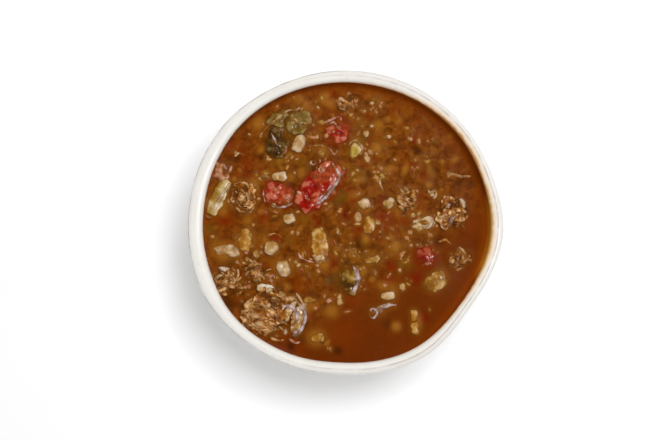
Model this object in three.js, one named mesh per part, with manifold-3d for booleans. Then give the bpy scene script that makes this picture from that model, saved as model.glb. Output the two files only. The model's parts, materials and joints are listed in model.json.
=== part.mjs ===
// A hand-formed stoneware bowl of pepper steak soup: thick brown broth with crumbled beef, strips of
// pepper, diced onion and celery lying in it, their tops just above the broth.
// Millimetres, +Z up. The origin is on the table, under the middle of the bowl.
import * as THREE from "three";
import { mergeVertices } from "three/addons/utils/BufferGeometryUtils.js";
import Module from "manifold-3d";

const wasm = await Module();
wasm.setup();

// Bowl
const BOWL_HEIGHT = 62;
const CREST_RADIUS = 66.9;
const LIP_OUTER_REACH = 2.8;
const LIP_INNER_REACH = 2.85;
const LIP_DEPTH = 2.6;
const FOOT_RADIUS = 36;
const FOOT_RING_WIDTH = 4.5;
const FOOT_HEIGHT = 3;
const FOOT_RECESS = 2.5;
const FOOT_BEVEL = 0.8;
const FLOOR_HEIGHT = 7.5;
const FLOOR_RADIUS = 28;
const BELLY_SQUARENESS = 0.92;
const BOWL_SIDES = 48;
const WALL_STEPS = 6;
const LIP_STEPS = 6;

// Inside, the wall is widest just under the level of the broth, and the lip turns in over it.
const WALL_INNER_RADIUS = 65.4;
const WALL_WIDEST_HEIGHT = 50;
const NECK_STEPS = 2;

// The rim is not a true circle: each swell pushes the wall out (or in) around one angle, in degrees.
const RIM_SWELLS = [
  { angle: 357, rise: 2.3, spread: 11 },
  { angle: 325, rise: -1.7, spread: 10 },
  { angle: 301, rise: 1.0, spread: 8 },
  { angle: 267, rise: -0.9, spread: 9 },
  { angle: 206, rise: 2.5, spread: 16 },
  { angle: 166, rise: 1.7, spread: 20 },
  { angle: 138, rise: 0.8, spread: 10 },
  { angle: 85, rise: -0.3, spread: 32 },
];
// The inner face takes this share of the rim's swells, and has swells of its own.
const INNER_SWELL_SHARE = 0.5;
const INNER_SWELLS = [
  { angle: 358, rise: 0.4, spread: 22 },
  { angle: 268, rise: -0.7, spread: 9 },
  { angle: 225, rise: 0.9, spread: 12 },
  { angle: 200, rise: -0.5, spread: 7 },
  { angle: 172, rise: -0.6, spread: 16 },
  { angle: 126, rise: 0.45, spread: 10 },
  { angle: 82, rise: -0.35, spread: 12 },
  { angle: 35, rise: 0.6, spread: 10 },
];
const SWELL_FADE_FROM = 6;
const SWELL_FADE_TO = 46;
const LIP_WAVE = 0.5;

// Broth
const SOUP_BELOW_CREST = 11;
const SOUP_SIDES = 45;
const SOUP_RINGS = 9;
const SOUP_RELIEF = 0.35;
const MENISCUS_RISE = 0.7;
const MENISCUS_WIDTH = 3;
const SOUP_LEVEL = BOWL_HEIGHT - SOUP_BELOW_CREST;

// Clearance round each piece that lies in the broth or against another piece, and to the bowl.
const PIECE_GAP = 0.4;
const WALL_GAP = 0.4;

const LIP_OUTER_RADIUS = CREST_RADIUS + LIP_OUTER_REACH;
const LIP_INNER_RADIUS = CREST_RADIUS - LIP_INNER_REACH;

const STUFFS = {
  glaze: { color: 0xf1ece4, roughness: 0.25 },
  broth: { color: 0x6b3413, roughness: 0.22 },
  beef: { color: 0x86552b, roughness: 0.5 },
  redPepper: { color: 0xb01d16, roughness: 0.25 },
  greenPepper: { color: 0x55521c, roughness: 0.3 },
  yellowPepper: { color: 0xc79a3c, roughness: 0.3 },
  celery: { color: 0xbfb36a, roughness: 0.35 },
  onion: { color: 0xe2d3b0, roughness: 0.35 },
};

// A repeatable stream of numbers from 0 to 1.
function randomFrom(seed) {
  let state = seed * 7919 + 17;
  return () => {
    state = (state * 48271) % 2147483647;
    return state / 2147483647;
  };
}

const radians = THREE.MathUtils.degToRad;
const smooth = (value, from, to) => THREE.MathUtils.smoothstep(value, from, to);

// Smooth bumps over the directions of a ball, between about -1 and 1, finer as fine grows.
function bumpsFrom(seed, fine) {
  const random = randomFrom(seed);
  const waves = [2.1, 2.9, 4.3].map((wave) => ({
    way: new THREE.Vector3(random() - 0.5, random() - 0.5, random() - 0.5).normalize(),
    pitch: wave * fine,
    start: random() * 2 * Math.PI,
  }));
  return (direction) => {
    const heights = waves.map((w) => Math.sin(w.pitch * w.way.dot(direction) + w.start));
    return heights.reduce((sum, height) => sum + height, 0) / waves.length;
  };
}

// ---- solids and geometries -------------------------------------------------------------------

function geometryFrom(points, faces) {
  const geometry = new THREE.BufferGeometry().setFromPoints(points);
  geometry.setIndex(faces.flat());
  return geometry;
}

function solidFrom(geometry) {
  geometry.deleteAttribute("normal");
  geometry.deleteAttribute("uv");
  const merged = mergeVertices(geometry, 1e-4);
  const vertProperties = merged.attributes.position.array;
  const triVerts = new Uint32Array(merged.index.array);
  return new wasm.Manifold(new wasm.Mesh({ numProp: 3, vertProperties, triVerts }));
}

function largestBody(solid) {
  const bodies = solid.decompose();
  return bodies.reduce((best, body) => (body.volume() > best.volume() ? body : best));
}

function meshFrom(name, solid, stuff) {
  const { vertProperties, triVerts } = solid.getMesh();
  const geometry = new THREE.BufferGeometry();
  geometry.setAttribute("position", new THREE.BufferAttribute(vertProperties, 3));
  geometry.setIndex(new THREE.BufferAttribute(triVerts, 1));
  geometry.computeVertexNormals();
  const material = new THREE.MeshStandardMaterial({ ...STUFFS[stuff], metalness: 0 });
  const mesh = new THREE.Mesh(geometry, material);
  mesh.name = name;
  return mesh;
}

// Closes a stack of rings with the same number of points each, from one pole to the other.
function ringStack(firstPole, rings, lastPole) {
  const sides = rings[0].length;
  const points = [firstPole, ...rings.flat(), lastPole];
  const faces = [];
  const at = (ring, side) => 1 + ring * sides + (side % sides);
  const last = rings.length - 1;
  for (let side = 0; side < sides; side += 1) {
    faces.push([0, at(0, side + 1), at(0, side)]);
    faces.push([points.length - 1, at(last, side), at(last, side + 1)]);
    for (let ring = 0; ring < last; ring += 1) {
      faces.push([at(ring, side), at(ring, side + 1), at(ring + 1, side)]);
      faces.push([at(ring, side + 1), at(ring + 1, side + 1), at(ring + 1, side)]);
    }
  }
  return geometryFrom(points, faces);
}

// ---- bowl --------------------------------------------------------------------------------------

function sumOfSwells(swells, angle) {
  return swells.reduce((sum, swell) => {
    const away = THREE.MathUtils.euclideanModulo(angle - swell.angle + 180, 360) - 180;
    return sum + swell.rise * Math.exp(-0.5 * (away / swell.spread) ** 2);
  }, 0);
}

// How far the wall is pushed out at an angle. share is 1 on the outer face, and less further in.
function swellAt(angle, share) {
  const inward = THREE.MathUtils.clamp((1 - share) / (1 - INNER_SWELL_SHARE), 0, 1);
  return share * sumOfSwells(RIM_SWELLS, angle) + inward * sumOfSwells(INNER_SWELLS, angle);
}

function lipWaveAt(angle) {
  return LIP_WAVE * Math.sin(radians(2 * angle + 40)) * Math.cos(radians(angle - 75));
}

// One point of a wall profile carried round the bowl. share is how much of the rim's swell it takes.
function bowlPoint({ radius, height, share }, angle) {
  const fade = smooth(height, SWELL_FADE_FROM, SWELL_FADE_TO);
  const reach = radius + fade * swellAt(angle, share);
  const lift = fade * smooth(height, SOUP_LEVEL + MENISCUS_RISE, BOWL_HEIGHT) * lipWaveAt(angle);
  const turn = radians(angle);
  return new THREE.Vector3(reach * Math.cos(turn), reach * Math.sin(turn), height + lift);
}

function ringOf(profilePoint, sides) {
  return Array.from({ length: sides }, (_, side) => bowlPoint(profilePoint, (side * 360) / sides));
}

// A quarter of a squared ellipse, from a flat start near the floor to an upright end at the lip.
function bellyArc(from, to, share, steps) {
  return Array.from({ length: steps + 1 }, (_, step) => {
    const turn = (step / steps) * (Math.PI / 2);
    return {
      radius: from.radius + (to.radius - from.radius) * Math.sin(turn) ** BELLY_SQUARENESS,
      height: to.height - (to.height - from.height) * Math.cos(turn) ** BELLY_SQUARENESS,
      share,
    };
  });
}

function innerWall() {
  const from = { radius: FLOOR_RADIUS, height: FLOOR_HEIGHT };
  const to = { radius: WALL_INNER_RADIUS, height: WALL_WIDEST_HEIGHT };
  return [...bellyArc(from, to, INNER_SWELL_SHARE, WALL_STEPS), ...neck()];
}

// The wall over its widest height, drawn in to the lip.
function neck() {
  return Array.from({ length: NECK_STEPS }, (_, step) => {
    const part = (step + 1) / NECK_STEPS;
    return {
      radius: THREE.MathUtils.lerp(WALL_INNER_RADIUS, LIP_INNER_RADIUS, smooth(part, 0, 1)),
      height: THREE.MathUtils.lerp(WALL_WIDEST_HEIGHT, BOWL_HEIGHT - LIP_DEPTH, part),
      share: INNER_SWELL_SHARE,
    };
  });
}

function outerWall() {
  const from = { radius: FOOT_RADIUS, height: FOOT_HEIGHT };
  const to = { radius: LIP_OUTER_RADIUS, height: BOWL_HEIGHT - LIP_DEPTH };
  return bellyArc(from, to, 1, WALL_STEPS);
}

// The rounded lip, from its outer side over the crest to its inner side.
function lip() {
  return Array.from({ length: LIP_STEPS - 1 }, (_, step) => {
    const part = (step + 1) / LIP_STEPS;
    const reach = part < 0.5 ? LIP_OUTER_REACH : LIP_INNER_REACH;
    return {
      radius: CREST_RADIUS + reach * Math.cos(part * Math.PI),
      height: BOWL_HEIGHT - LIP_DEPTH + LIP_DEPTH * Math.sin(part * Math.PI),
      share: THREE.MathUtils.lerp(1, INNER_SWELL_SHARE, part),
    };
  });
}

function bowlSolid() {
  const footInner = FOOT_RADIUS - FOOT_RING_WIDTH;
  const foot = [
    { radius: footInner - FOOT_BEVEL, height: FOOT_RECESS, share: 0 },
    { radius: footInner, height: 0, share: 0 },
    { radius: FOOT_RADIUS - FOOT_BEVEL, height: 0, share: 0 },
    { radius: FOOT_RADIUS, height: FOOT_BEVEL, share: 0 },
  ];
  const profile = [...foot, ...outerWall(), ...lip(), ...innerWall().reverse()];
  const rings = profile.map((point) => ringOf(point, BOWL_SIDES));
  const underside = new THREE.Vector3(0, 0, FOOT_RECESS);
  const floor = new THREE.Vector3(0, 0, FLOOR_HEIGHT);
  return solidFrom(ringStack(underside, rings, floor));
}

// ---- broth -------------------------------------------------------------------------------------

// Radius of the bowl's inner face at a height.
function innerRadiusAt(height) {
  const wall = innerWall();
  const above = wall.findIndex((point) => point.height >= height);
  const [low, high] = [wall[above - 1], wall[above]];
  const part = (height - low.height) / (high.height - low.height);
  return THREE.MathUtils.lerp(low.radius, high.radius, part);
}

// Height of the open broth over the table: slow swells, and a rim that climbs the wall a little.
function brothHeight(x, y) {
  const swell = Math.sin(x / 9 + 0.6) * Math.cos(y / 11 - 0.4) + Math.sin((x - y) / 15 + 2.1);
  const toWall = innerRadiusAt(SOUP_LEVEL) - Math.hypot(x, y);
  const climb = MENISCUS_RISE * Math.exp(-Math.max(toWall, 0) / MENISCUS_WIDTH);
  return SOUP_LEVEL + SOUP_RELIEF * swell + climb;
}

// The bowl's inner face, moved in by the gap that the broth and the pieces keep to it.
function linedWall() {
  return innerWall().map(({ radius, height, share }) => ({
    radius: radius - WALL_GAP,
    height: height + WALL_GAP,
    share,
  }));
}

// All the room inside the bowl, up to its crest.
function bowlRoom() {
  const top = { radius: LIP_INNER_RADIUS - WALL_GAP, height: BOWL_HEIGHT, share: INNER_SWELL_SHARE };
  const rings = [...linedWall(), top].map((point) => ringOf(point, BOWL_SIDES));
  const bottom = new THREE.Vector3(0, 0, FLOOR_HEIGHT + WALL_GAP);
  return solidFrom(ringStack(bottom, rings, new THREE.Vector3(0, 0, BOWL_HEIGHT)));
}

function brothBody() {
  const wall = linedWall().filter((point) => point.height < SOUP_LEVEL - 2);
  const edge = { radius: innerRadiusAt(SOUP_LEVEL) - WALL_GAP, height: SOUP_LEVEL,
    share: INNER_SWELL_SHARE };
  const sunk = [...wall, edge].map((point) => ringOf(point, SOUP_SIDES));
  const edgeRing = sunk[sunk.length - 1];
  for (const point of edgeRing) {
    point.z = brothHeight(point.x, point.y);
  }
  const top = Array.from({ length: SOUP_RINGS - 1 }, (_, step) => {
    const scale = 1 - (step + 1) / SOUP_RINGS;
    return edgeRing.map(({ x, y }) =>
      new THREE.Vector3(x * scale, y * scale, brothHeight(x * scale, y * scale)));
  });
  const bottom = new THREE.Vector3(0, 0, FLOOR_HEIGHT + WALL_GAP);
  const middle = new THREE.Vector3(0, 0, brothHeight(0, 0));
  return solidFrom(ringStack(bottom, [...sunk, ...top], middle));
}

// ---- shapes of the pieces, each about its own middle, grown by a clearance on every side --------

// A rounded lump. square under 1 makes it boxy; rough is how far its bumps go.
function lump({ size, seed, rough = 0.12, square = 0.8, detail = 1, fine = 1 }, grow) {
  const ball = new THREE.IcosahedronGeometry(1, detail);
  const bumps = bumpsFrom(seed, fine);
  const position = ball.attributes.position;
  const point = new THREE.Vector3();
  const half = new THREE.Vector3(...size).multiplyScalar(0.5).addScalar(grow);
  for (let i = 0; i < position.count; i += 1) {
    point.fromBufferAttribute(position, i).normalize();
    const swell = 1 + rough * bumps(point);
    const squared = point.toArray().map((part) => Math.sign(part) * Math.abs(part) ** square);
    point.fromArray(squared).multiply(half).multiplyScalar(swell);
    position.setXYZ(i, point.x, point.y, point.z);
  }
  return solidFrom(ball);
}

// A cut slice of a thick skin or layer: long, curved in its own plane by arc degrees, arched along
// its length by rise and across its width by cup, narrowed to its ends, and a little wavy.
function slice({ size, seed, arc = 0, rise = 0, cup = 0, taper = 0.3, wave = 0.2, steps = 5 }, grow) {
  const [length, width, thick] = size;
  const rows = 2;
  const random = randomFrom(seed);
  const start = random() * 6;
  const uneven = Array.from({ length: steps + 1 }, () => 0.88 + 0.24 * random());
  const bend = radians(arc) / length;
  const middleAt = (along, across) => {
    const u = along / (length / 2);
    const v = across / (width / 2);
    const heading = bend * along;
    const x = Math.abs(bend) > 1e-6 ? Math.sin(heading) / bend : along;
    const y = Math.abs(bend) > 1e-6 ? (1 - Math.cos(heading)) / bend : 0;
    const ripple = wave * Math.sin(3.1 * u + 1.7 * v + start);
    const z = -rise * u * u - cup * v * v + ripple;
    return new THREE.Vector3(x - across * Math.sin(heading), y + across * Math.cos(heading), z);
  };
  const upper = [];
  const lower = [];
  for (let step = 0; step <= steps; step += 1) {
    const u = (2 * step) / steps - 1;
    const halfWidth = (width / 2) * uneven[step] * (1 - taper * Math.abs(u) ** 3) + grow;
    for (let row = 0; row <= rows; row += 1) {
      const v = (2 * row) / rows - 1;
      const along = u * (length / 2 + grow);
      const middle = middleAt(along, v * halfWidth);
      const slopeLong = middleAt(along + 0.1, v * halfWidth).sub(middle);
      const slopeWide = middleAt(along, v * halfWidth + 0.1).sub(middle);
      const out = slopeLong.cross(slopeWide).normalize();
      const edge = Math.max(Math.abs(u), Math.abs(v));
      const halfThick = (thick / 2) * (edge > 0.99 ? 0.62 : 1) + grow;
      upper.push(middle.clone().addScaledVector(out, halfThick));
      lower.push(middle.clone().addScaledVector(out, -halfThick));
    }
  }
  return solidFrom(closedSheet(upper, lower, steps, rows));
}

// Joins an upper and a lower grid of points into one closed skin.
function closedSheet(upper, lower, steps, rows) {
  const faces = [];
  const top = (step, row) => step * (rows + 1) + row;
  const under = (step, row) => upper.length + top(step, row);
  for (let step = 0; step < steps; step += 1) {
    for (let row = 0; row < rows; row += 1) {
      faces.push([top(step, row), top(step + 1, row), top(step + 1, row + 1)]);
      faces.push([top(step, row), top(step + 1, row + 1), top(step, row + 1)]);
      faces.push([under(step, row), under(step + 1, row + 1), under(step + 1, row)]);
      faces.push([under(step, row), under(step, row + 1), under(step + 1, row + 1)]);
    }
    faces.push([top(step, 0), under(step, 0), under(step + 1, 0)]);
    faces.push([top(step, 0), under(step + 1, 0), top(step + 1, 0)]);
    faces.push([top(step, rows), under(step + 1, rows), under(step, rows)]);
    faces.push([top(step, rows), top(step + 1, rows), under(step + 1, rows)]);
  }
  for (let row = 0; row < rows; row += 1) {
    faces.push([top(0, row), under(0, row + 1), under(0, row)]);
    faces.push([top(0, row), top(0, row + 1), under(0, row + 1)]);
    faces.push([top(steps, row), under(steps, row), under(steps, row + 1)]);
    faces.push([top(steps, row), under(steps, row + 1), top(steps, row + 1)]);
  }
  return geometryFrom([...upper, ...lower], faces);
}

// Crumbled meat: a ragged body, with torn fibres lying over it.
function crumble({ size, seed, fibres = 0, detail = 1 }, grow) {
  const random = randomFrom(seed);
  const [length, width, tall] = size;
  const body = lump({ size, seed, rough: 0.34, square: 0.86, detail, fine: 1.9 }, grow);
  return Array.from({ length: fibres }, (_, index) => index).reduce((sum, index) => {
    const across = ((index + 0.5) / fibres - 0.5) * width * 0.8;
    const fibre = {
      size: [length * (0.5 + 0.3 * random()), width * 0.13, tall * 0.5],
      seed: seed + index,
      detail: 0,
    };
    const place = [(random() - 0.5) * length * 0.3, across, tall * (0.26 + 0.1 * random())];
    const heading = (random() - 0.5) * 40;
    return sum.add(lump(fibre, grow).rotate([0, 0, heading]).translate(place));
  }, body);
}

// ---- the pieces ---------------------------------------------------------------------------------

// at is the middle over the table, turn the heading of the length, lift the middle's height over the
// broth, tilt a roll about the length and pitch a rise of the far end.
const PIECES = [
  { name: "red_pepper_large", make: slice, stuff: "redPepper", at: [-11.6, 16.3], turn: 47,
    lift: 0.6, tilt: 3, size: [25.5, 13.4, 3.6], rise: 0.8, cup: 0.5, arc: 14, taper: 0.4,
    wave: 0.5, steps: 7, seed: 5 },
  { name: "red_pepper_left", make: slice, stuff: "redPepper", at: [-31, 13.6], turn: 158,
    lift: 0.4, size: [14.5, 9.6, 3], rise: 0.7, cup: 0.3, wave: 0.4, seed: 6 },
  { name: "red_pepper_top", make: slice, stuff: "redPepper", at: [-3.6, 42], turn: 62,
    lift: 0.4, tilt: -4, size: [11.4, 9.6, 3], rise: 0.7, cup: 0.4, wave: 0.5, seed: 7 },
  { name: "red_pepper_right", make: slice, stuff: "redPepper", at: [36.6, -15.4], turn: 100,
    lift: 0.4, size: [9, 7.8, 2.8], rise: 0.5, cup: 0.3, wave: 0.4, steps: 4, seed: 8 },
  { name: "green_pepper_dark", make: slice, stuff: "greenPepper", at: [-31.2, 37], turn: 82,
    lift: 0.6, tilt: 4, size: [13.8, 9.8, 3.4], rise: 0.8, cup: 0.5, wave: 0.4, seed: 9 },
  { name: "green_pepper_olive", make: slice, stuff: "greenPepper", at: [-21.4, 46], turn: 20,
    lift: 0.6, size: [11.6, 9.2, 3.2], rise: 0.7, cup: 0.4, wave: 0.6, seed: 10 },
  { name: "green_pepper_slab", make: slice, stuff: "greenPepper", at: [-30.8, 47], turn: 40,
    lift: 0.5, size: [10.4, 7.6, 2.8], rise: 0.3, cup: 0.2, wave: 0.3, steps: 4, seed: 11 },
  { name: "green_pepper_centre", make: slice, stuff: "greenPepper", at: [1.3, -25.8], turn: 84,
    lift: 0.4, tilt: -3, size: [13.4, 9.2, 3.2], rise: 0.7, cup: 0.5, wave: 0.4, seed: 12 },
  { name: "yellow_pepper_stick", make: slice, stuff: "yellowPepper", at: [-11.6, -10.2], turn: 97,
    lift: 0.6, size: [16, 6.4, 3.4], rise: 0.6, cup: 0.3, arc: 10, wave: 0.3, seed: 13 },
  { name: "yellow_pepper_right", make: slice, stuff: "yellowPepper", at: [41.1, -26.7], turn: 36,
    lift: 0.5, size: [10.4, 7.4, 3], rise: 0.5, cup: 0.3, wave: 0.3, steps: 4, seed: 14 },
  { name: "yellow_pepper_sunk", make: slice, stuff: "yellowPepper", at: [12, -16.6], turn: 4,
    lift: -0.4, size: [10.8, 3.6, 2.4], rise: 0.3, cup: 0.3, wave: 0.2, seed: 15 },
  { name: "celery_left", make: slice, stuff: "celery", at: [-58.2, 12], turn: 63,
    lift: 0.6, size: [17.4, 6.2, 3.2], rise: 0.5, cup: 0.3, arc: -16, wave: 0.2, steps: 6,
    seed: 16 },
  { name: "celery_centre", make: slice, stuff: "celery", at: [10.9, -0.9], turn: 84,
    lift: 0.3, size: [8.2, 5, 3], rise: 0.5, cup: 0.6, arc: 22, steps: 4, seed: 17 },
  { name: "celery_top", make: crumble, stuff: "celery", at: [4.3, 33.2], turn: 70,
    lift: 0, size: [7.6, 6, 3], seed: 18 },
  { name: "beef_shredded", make: crumble, stuff: "beef", at: [-36, -39.4], turn: 35,
    lift: 0.3, size: [25, 20, 6.4], fibres: 5, detail: 2, seed: 21 },
  { name: "beef_left", make: crumble, stuff: "beef", at: [-46.6, 11.8], turn: 78,
    lift: 0.3, size: [14.4, 11, 5], fibres: 2, seed: 22 },
  { name: "beef_left_edge", make: crumble, stuff: "beef", at: [-57, 23.4], turn: 60,
    lift: 0.1, size: [9.4, 8.2, 4], seed: 23 },
  { name: "beef_lower_left", make: crumble, stuff: "beef", at: [-54.6, -26.2], turn: 120,
    lift: 0.3, size: [11.8, 10, 4.6], fibres: 1, seed: 24 },
  { name: "beef_tan", make: crumble, stuff: "beef", at: [-41.4, -22.6], turn: 95,
    lift: 0.2, size: [10, 8.4, 4.4], seed: 25 },
  { name: "beef_right_inner", make: crumble, stuff: "beef", at: [28, 10.6], turn: 20,
    lift: 0.1, size: [9.4, 8.2, 4], seed: 26 },
  { name: "beef_right_outer", make: crumble, stuff: "beef", at: [47.6, 4.6], turn: 62,
    lift: 0.3, size: [15.6, 12.4, 5], fibres: 2, detail: 2, seed: 27 },
  { name: "beef_right_low", make: crumble, stuff: "beef", at: [52.4, -15.8], turn: 15,
    lift: 0.1, size: [10.4, 7.6, 4], seed: 28 },
  { name: "beef_top", make: crumble, stuff: "beef", at: [-0.7, 54.4], turn: 0,
    lift: 0, size: [7.2, 5, 3], seed: 29 },
  { name: "onion_tall", make: lump, stuff: "onion", at: [-21, 36.6], turn: 68,
    lift: 0.6, size: [8.8, 5.8, 4.4], square: 0.66, seed: 31 },
  { name: "onion_on_pepper", make: slice, stuff: "onion", at: [-30.3, 21], turn: 20,
    lift: 0.8, size: [6.4, 4.8, 2.4], rise: 0.5, cup: 0.4, steps: 4, seed: 32 },
  { name: "onion_dice_left", make: lump, stuff: "onion", at: [-25.7, 2.2], turn: 15,
    lift: 0.4, size: [5.4, 4.6, 3.8], square: 0.6, seed: 33 },
  { name: "onion_dice_centre", make: lump, stuff: "onion", at: [8.4, 8.7], turn: 30,
    lift: 0.4, size: [5.4, 4.8, 3.8], square: 0.6, seed: 34 },
  { name: "onion_dice_middle", make: lump, stuff: "onion", at: [5.7, 2.8], turn: 95,
    lift: 0.1, size: [5.4, 3.6, 3.2], square: 0.7, seed: 35 },
  { name: "onion_cube", make: lump, stuff: "onion", at: [-33.9, -11.3], turn: 75,
    lift: 0.5, size: [6.4, 5.8, 4.4], square: 0.56, seed: 36 },
  { name: "onion_gold", make: lump, stuff: "onion", at: [-28.4, -20.5], turn: 98,
    lift: 0.5, size: [7.6, 6.2, 4.2], square: 0.66, seed: 37 },
  { name: "onion_dice_low", make: lump, stuff: "onion", at: [19.6, -33.2], turn: 8,
    lift: 0.2, size: [6.2, 4.2, 3.2], square: 0.66, seed: 38 },
  { name: "onion_wedge", make: lump, stuff: "onion", at: [19.6, 9.2], turn: 40,
    lift: 0.4, size: [5.4, 4.6, 3.2], square: 0.7, rough: 0.24, seed: 39 },
  { name: "onion_crescent", make: slice, stuff: "onion", at: [-53.8, -12.2], turn: 170,
    lift: 0.3, size: [12, 4.6, 2.8], rise: 0.4, cup: 0.4, arc: 60, taper: 0.5, seed: 40 },
  { name: "onion_strip", make: slice, stuff: "onion", at: [-36, -30.2], turn: 168,
    lift: 2.2, size: [9.4, 4.2, 2], rise: 0.5, cup: 0.3, taper: 0.4, seed: 41 },
  { name: "onion_curl", make: slice, stuff: "onion", at: [-21.2, -43.4], turn: 68,
    lift: 0.8, tilt: 24, size: [17, 6.4, 2.2], rise: 0.8, cup: 0.6, arc: -86, taper: 0.5, steps: 6,
    seed: 42 },
  { name: "onion_curl_inner", make: slice, stuff: "onion", at: [-25.6, -39.6], turn: 62,
    lift: 2, tilt: 30, size: [11, 3, 1.6], rise: 0.6, cup: 0.2, arc: -80, taper: 0.5, seed: 43 },
  { name: "onion_right", make: slice, stuff: "onion", at: [36, 0.2], turn: 20,
    lift: 0.5, size: [10.4, 5, 3], rise: 0.6, cup: 0.4, arc: -70, taper: 0.3, seed: 44 },
  { name: "onion_membrane", make: slice, stuff: "onion", at: [17.1, -39.1], turn: 22,
    lift: 0.2, size: [11.8, 4, 1.4], rise: 0.4, cup: 0.5, arc: -20, taper: 0.6, seed: 45 },
  { name: "pepper_pale_cluster", make: crumble, stuff: "yellowPepper", at: [-45.3, -7.6], turn: 96,
    lift: 0.2, size: [11.4, 6.6, 3.8], seed: 46 },
  { name: "kernel_low", make: lump, stuff: "yellowPepper", at: [-12.5, -52.3], turn: 12,
    lift: 0.4, size: [6.4, 4.6, 3.6], square: 0.85, seed: 47 },
  { name: "kernel_right", make: lump, stuff: "yellowPepper", at: [31.2, -42.3], turn: 95,
    lift: 0.2, size: [5.4, 3.8, 3.2], square: 0.85, seed: 48 },
  { name: "kernel_amber", make: lump, stuff: "yellowPepper", at: [31.7, -48.2], turn: 80,
    lift: 0.1, size: [6, 4.4, 3.2], square: 0.85, seed: 49 },
];

// A piece as a solid in its place, grown by a clearance.
function pieceSolid(piece, grow) {
  const [x, y] = piece.at;
  const { tilt = 0, pitch = 0 } = piece;
  const placed = piece.make(piece, grow).rotate([tilt, -pitch, 0]).rotate([0, 0, piece.turn]);
  return placed.translate([x, y, brothHeight(x, y) + piece.lift]);
}

// Each piece gives way to the bowl and the pieces before it, so that no two share any space.
function piecesApart() {
  const inside = bowlRoom();
  let taken = null;
  return PIECES.map((piece) => {
    const whole = pieceSolid(piece, 0).intersect(inside);
    const solid = taken ? largestBody(whole.subtract(taken)) : whole;
    const room = pieceSolid(piece, PIECE_GAP);
    taken = taken ? taken.add(room) : room;
    return { piece, solid, room };
  });
}

// Small dice and crumbs that are one with the broth: middle, length and width.
const SMALL_BITS = [
  [-43.9, 40.7, 2.2, 1.8], [-38.7, 40.3, 2, 1.6], [-50.7, 32.8, 2.4, 2], [-23.2, 57.3, 2.2, 1.8],
  [-10.7, 57.4, 2.2, 1.8], [-13, 39.8, 2.6, 2], [-10.9, 31.9, 4, 3.6], [9.3, 41.1, 3.6, 2.4],
  [12.3, 44.4, 2.2, 2], [6.1, 48, 2.2, 1.8], [9.8, 29.4, 3.8, 3.2], [19.8, 39.6, 2.8, 2],
  [39.8, 38.2, 2.6, 2.2], [33.4, 37.3, 3, 1.6], [15.9, 25.5, 3.8, 2.4], [47.1, 22.3, 2.4, 2],
  [39.8, 12.9, 3.6, 2.2], [29.6, -4.1, 2.8, 2.4], [21.2, -2.4, 2.2, 1.8], [-0.6, -0.4, 2, 1.8],
  [-37, 5.2, 2.4, 2], [-40.7, 22.5, 2.4, 2], [-49.4, -18, 2.8, 2.2], [-34, -26.4, 2.4, 2],
  [-4.6, -8.9, 3.4, 2], [-12.6, -21.4, 2.6, 2.2], [-7.5, -35.5, 2.8, 2.4], [-2.4, -36, 4.2, 3.2],
  [13.2, -22.6, 4.2, 3], [19.8, -24, 2.8, 2], [17.4, -28.4, 2.8, 2], [24.6, -21.6, 2.2, 2],
  [25.3, -14.4, 2.4, 2.2], [-6.8, -57.6, 2.6, 2], [-15.6, -35.2, 4.2, 3.4], [-40.6, -14, 4.4, 3.4],
  [25.9, -29, 4.4, 3.4],
];
const BIT_TALL = 0.62;
const BIT_SUNK = 0.16;

function smallBits(rooms) {
  const bits = SMALL_BITS.map(([x, y, length, width], index) => {
    const shape = { size: [length, width, width * BIT_TALL * 2], seed: 100 + index, detail: 0,
      square: 0.8 };
    return lump(shape, 0).rotate([0, 0, index * 47]).translate([x, y, brothHeight(x, y) - width * BIT_SUNK]);
  });
  return bits.filter((bit) => rooms.every((room) => bit.intersect(room).isEmpty()));
}

function soupSolid(rooms) {
  const withBits = smallBits(rooms).reduce((sum, bit) => sum.add(bit), brothBody());
  return largestBody(rooms.reduce((sum, room) => sum.subtract(room), withBits));
}

// ---- scene ---------------------------------------------------------------------------------------

const shell = bowlSolid();
const apart = piecesApart();
const rooms = apart.map(({ room }) => room);

// The swells make the rim lopsided, so the whole is moved to stand centred on the origin.
const filledBowl = new THREE.Group();
const { min, max } = shell.boundingBox();
filledBowl.position.set(-(min[0] + max[0]) / 2, -(min[1] + max[1]) / 2, 0);
filledBowl.add(meshFrom("bowl", shell, "glaze"));
filledBowl.add(meshFrom("soup", soupSolid(rooms), "broth"));
for (const { piece, solid } of apart) {
  filledBowl.add(meshFrom(piece.name, solid, piece.stuff));
}

const group = new THREE.Group();
group.add(filledBowl);

export default group;
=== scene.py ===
# %% [markdown]
# # A bowl of pepper steak soup
# A hand-formed white stoneware bowl, nearly full of thick brown soup. Crumbled beef, strips of red, green
# and yellow pepper, celery and diced onion lie in it with their tops just out of the broth. The solid
# model gives the size and place of every piece. This lesson gives each of them its fine shape and its
# finish, and adds the crumbs, fibres and membranes that are too small for the solid model.

# %% Load the solid model
import json
import math
import random

import bpy
import numpy as np
from mathutils import Euler, Matrix, Vector, noise
from mathutils.bvhtree import BVHTree


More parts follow.
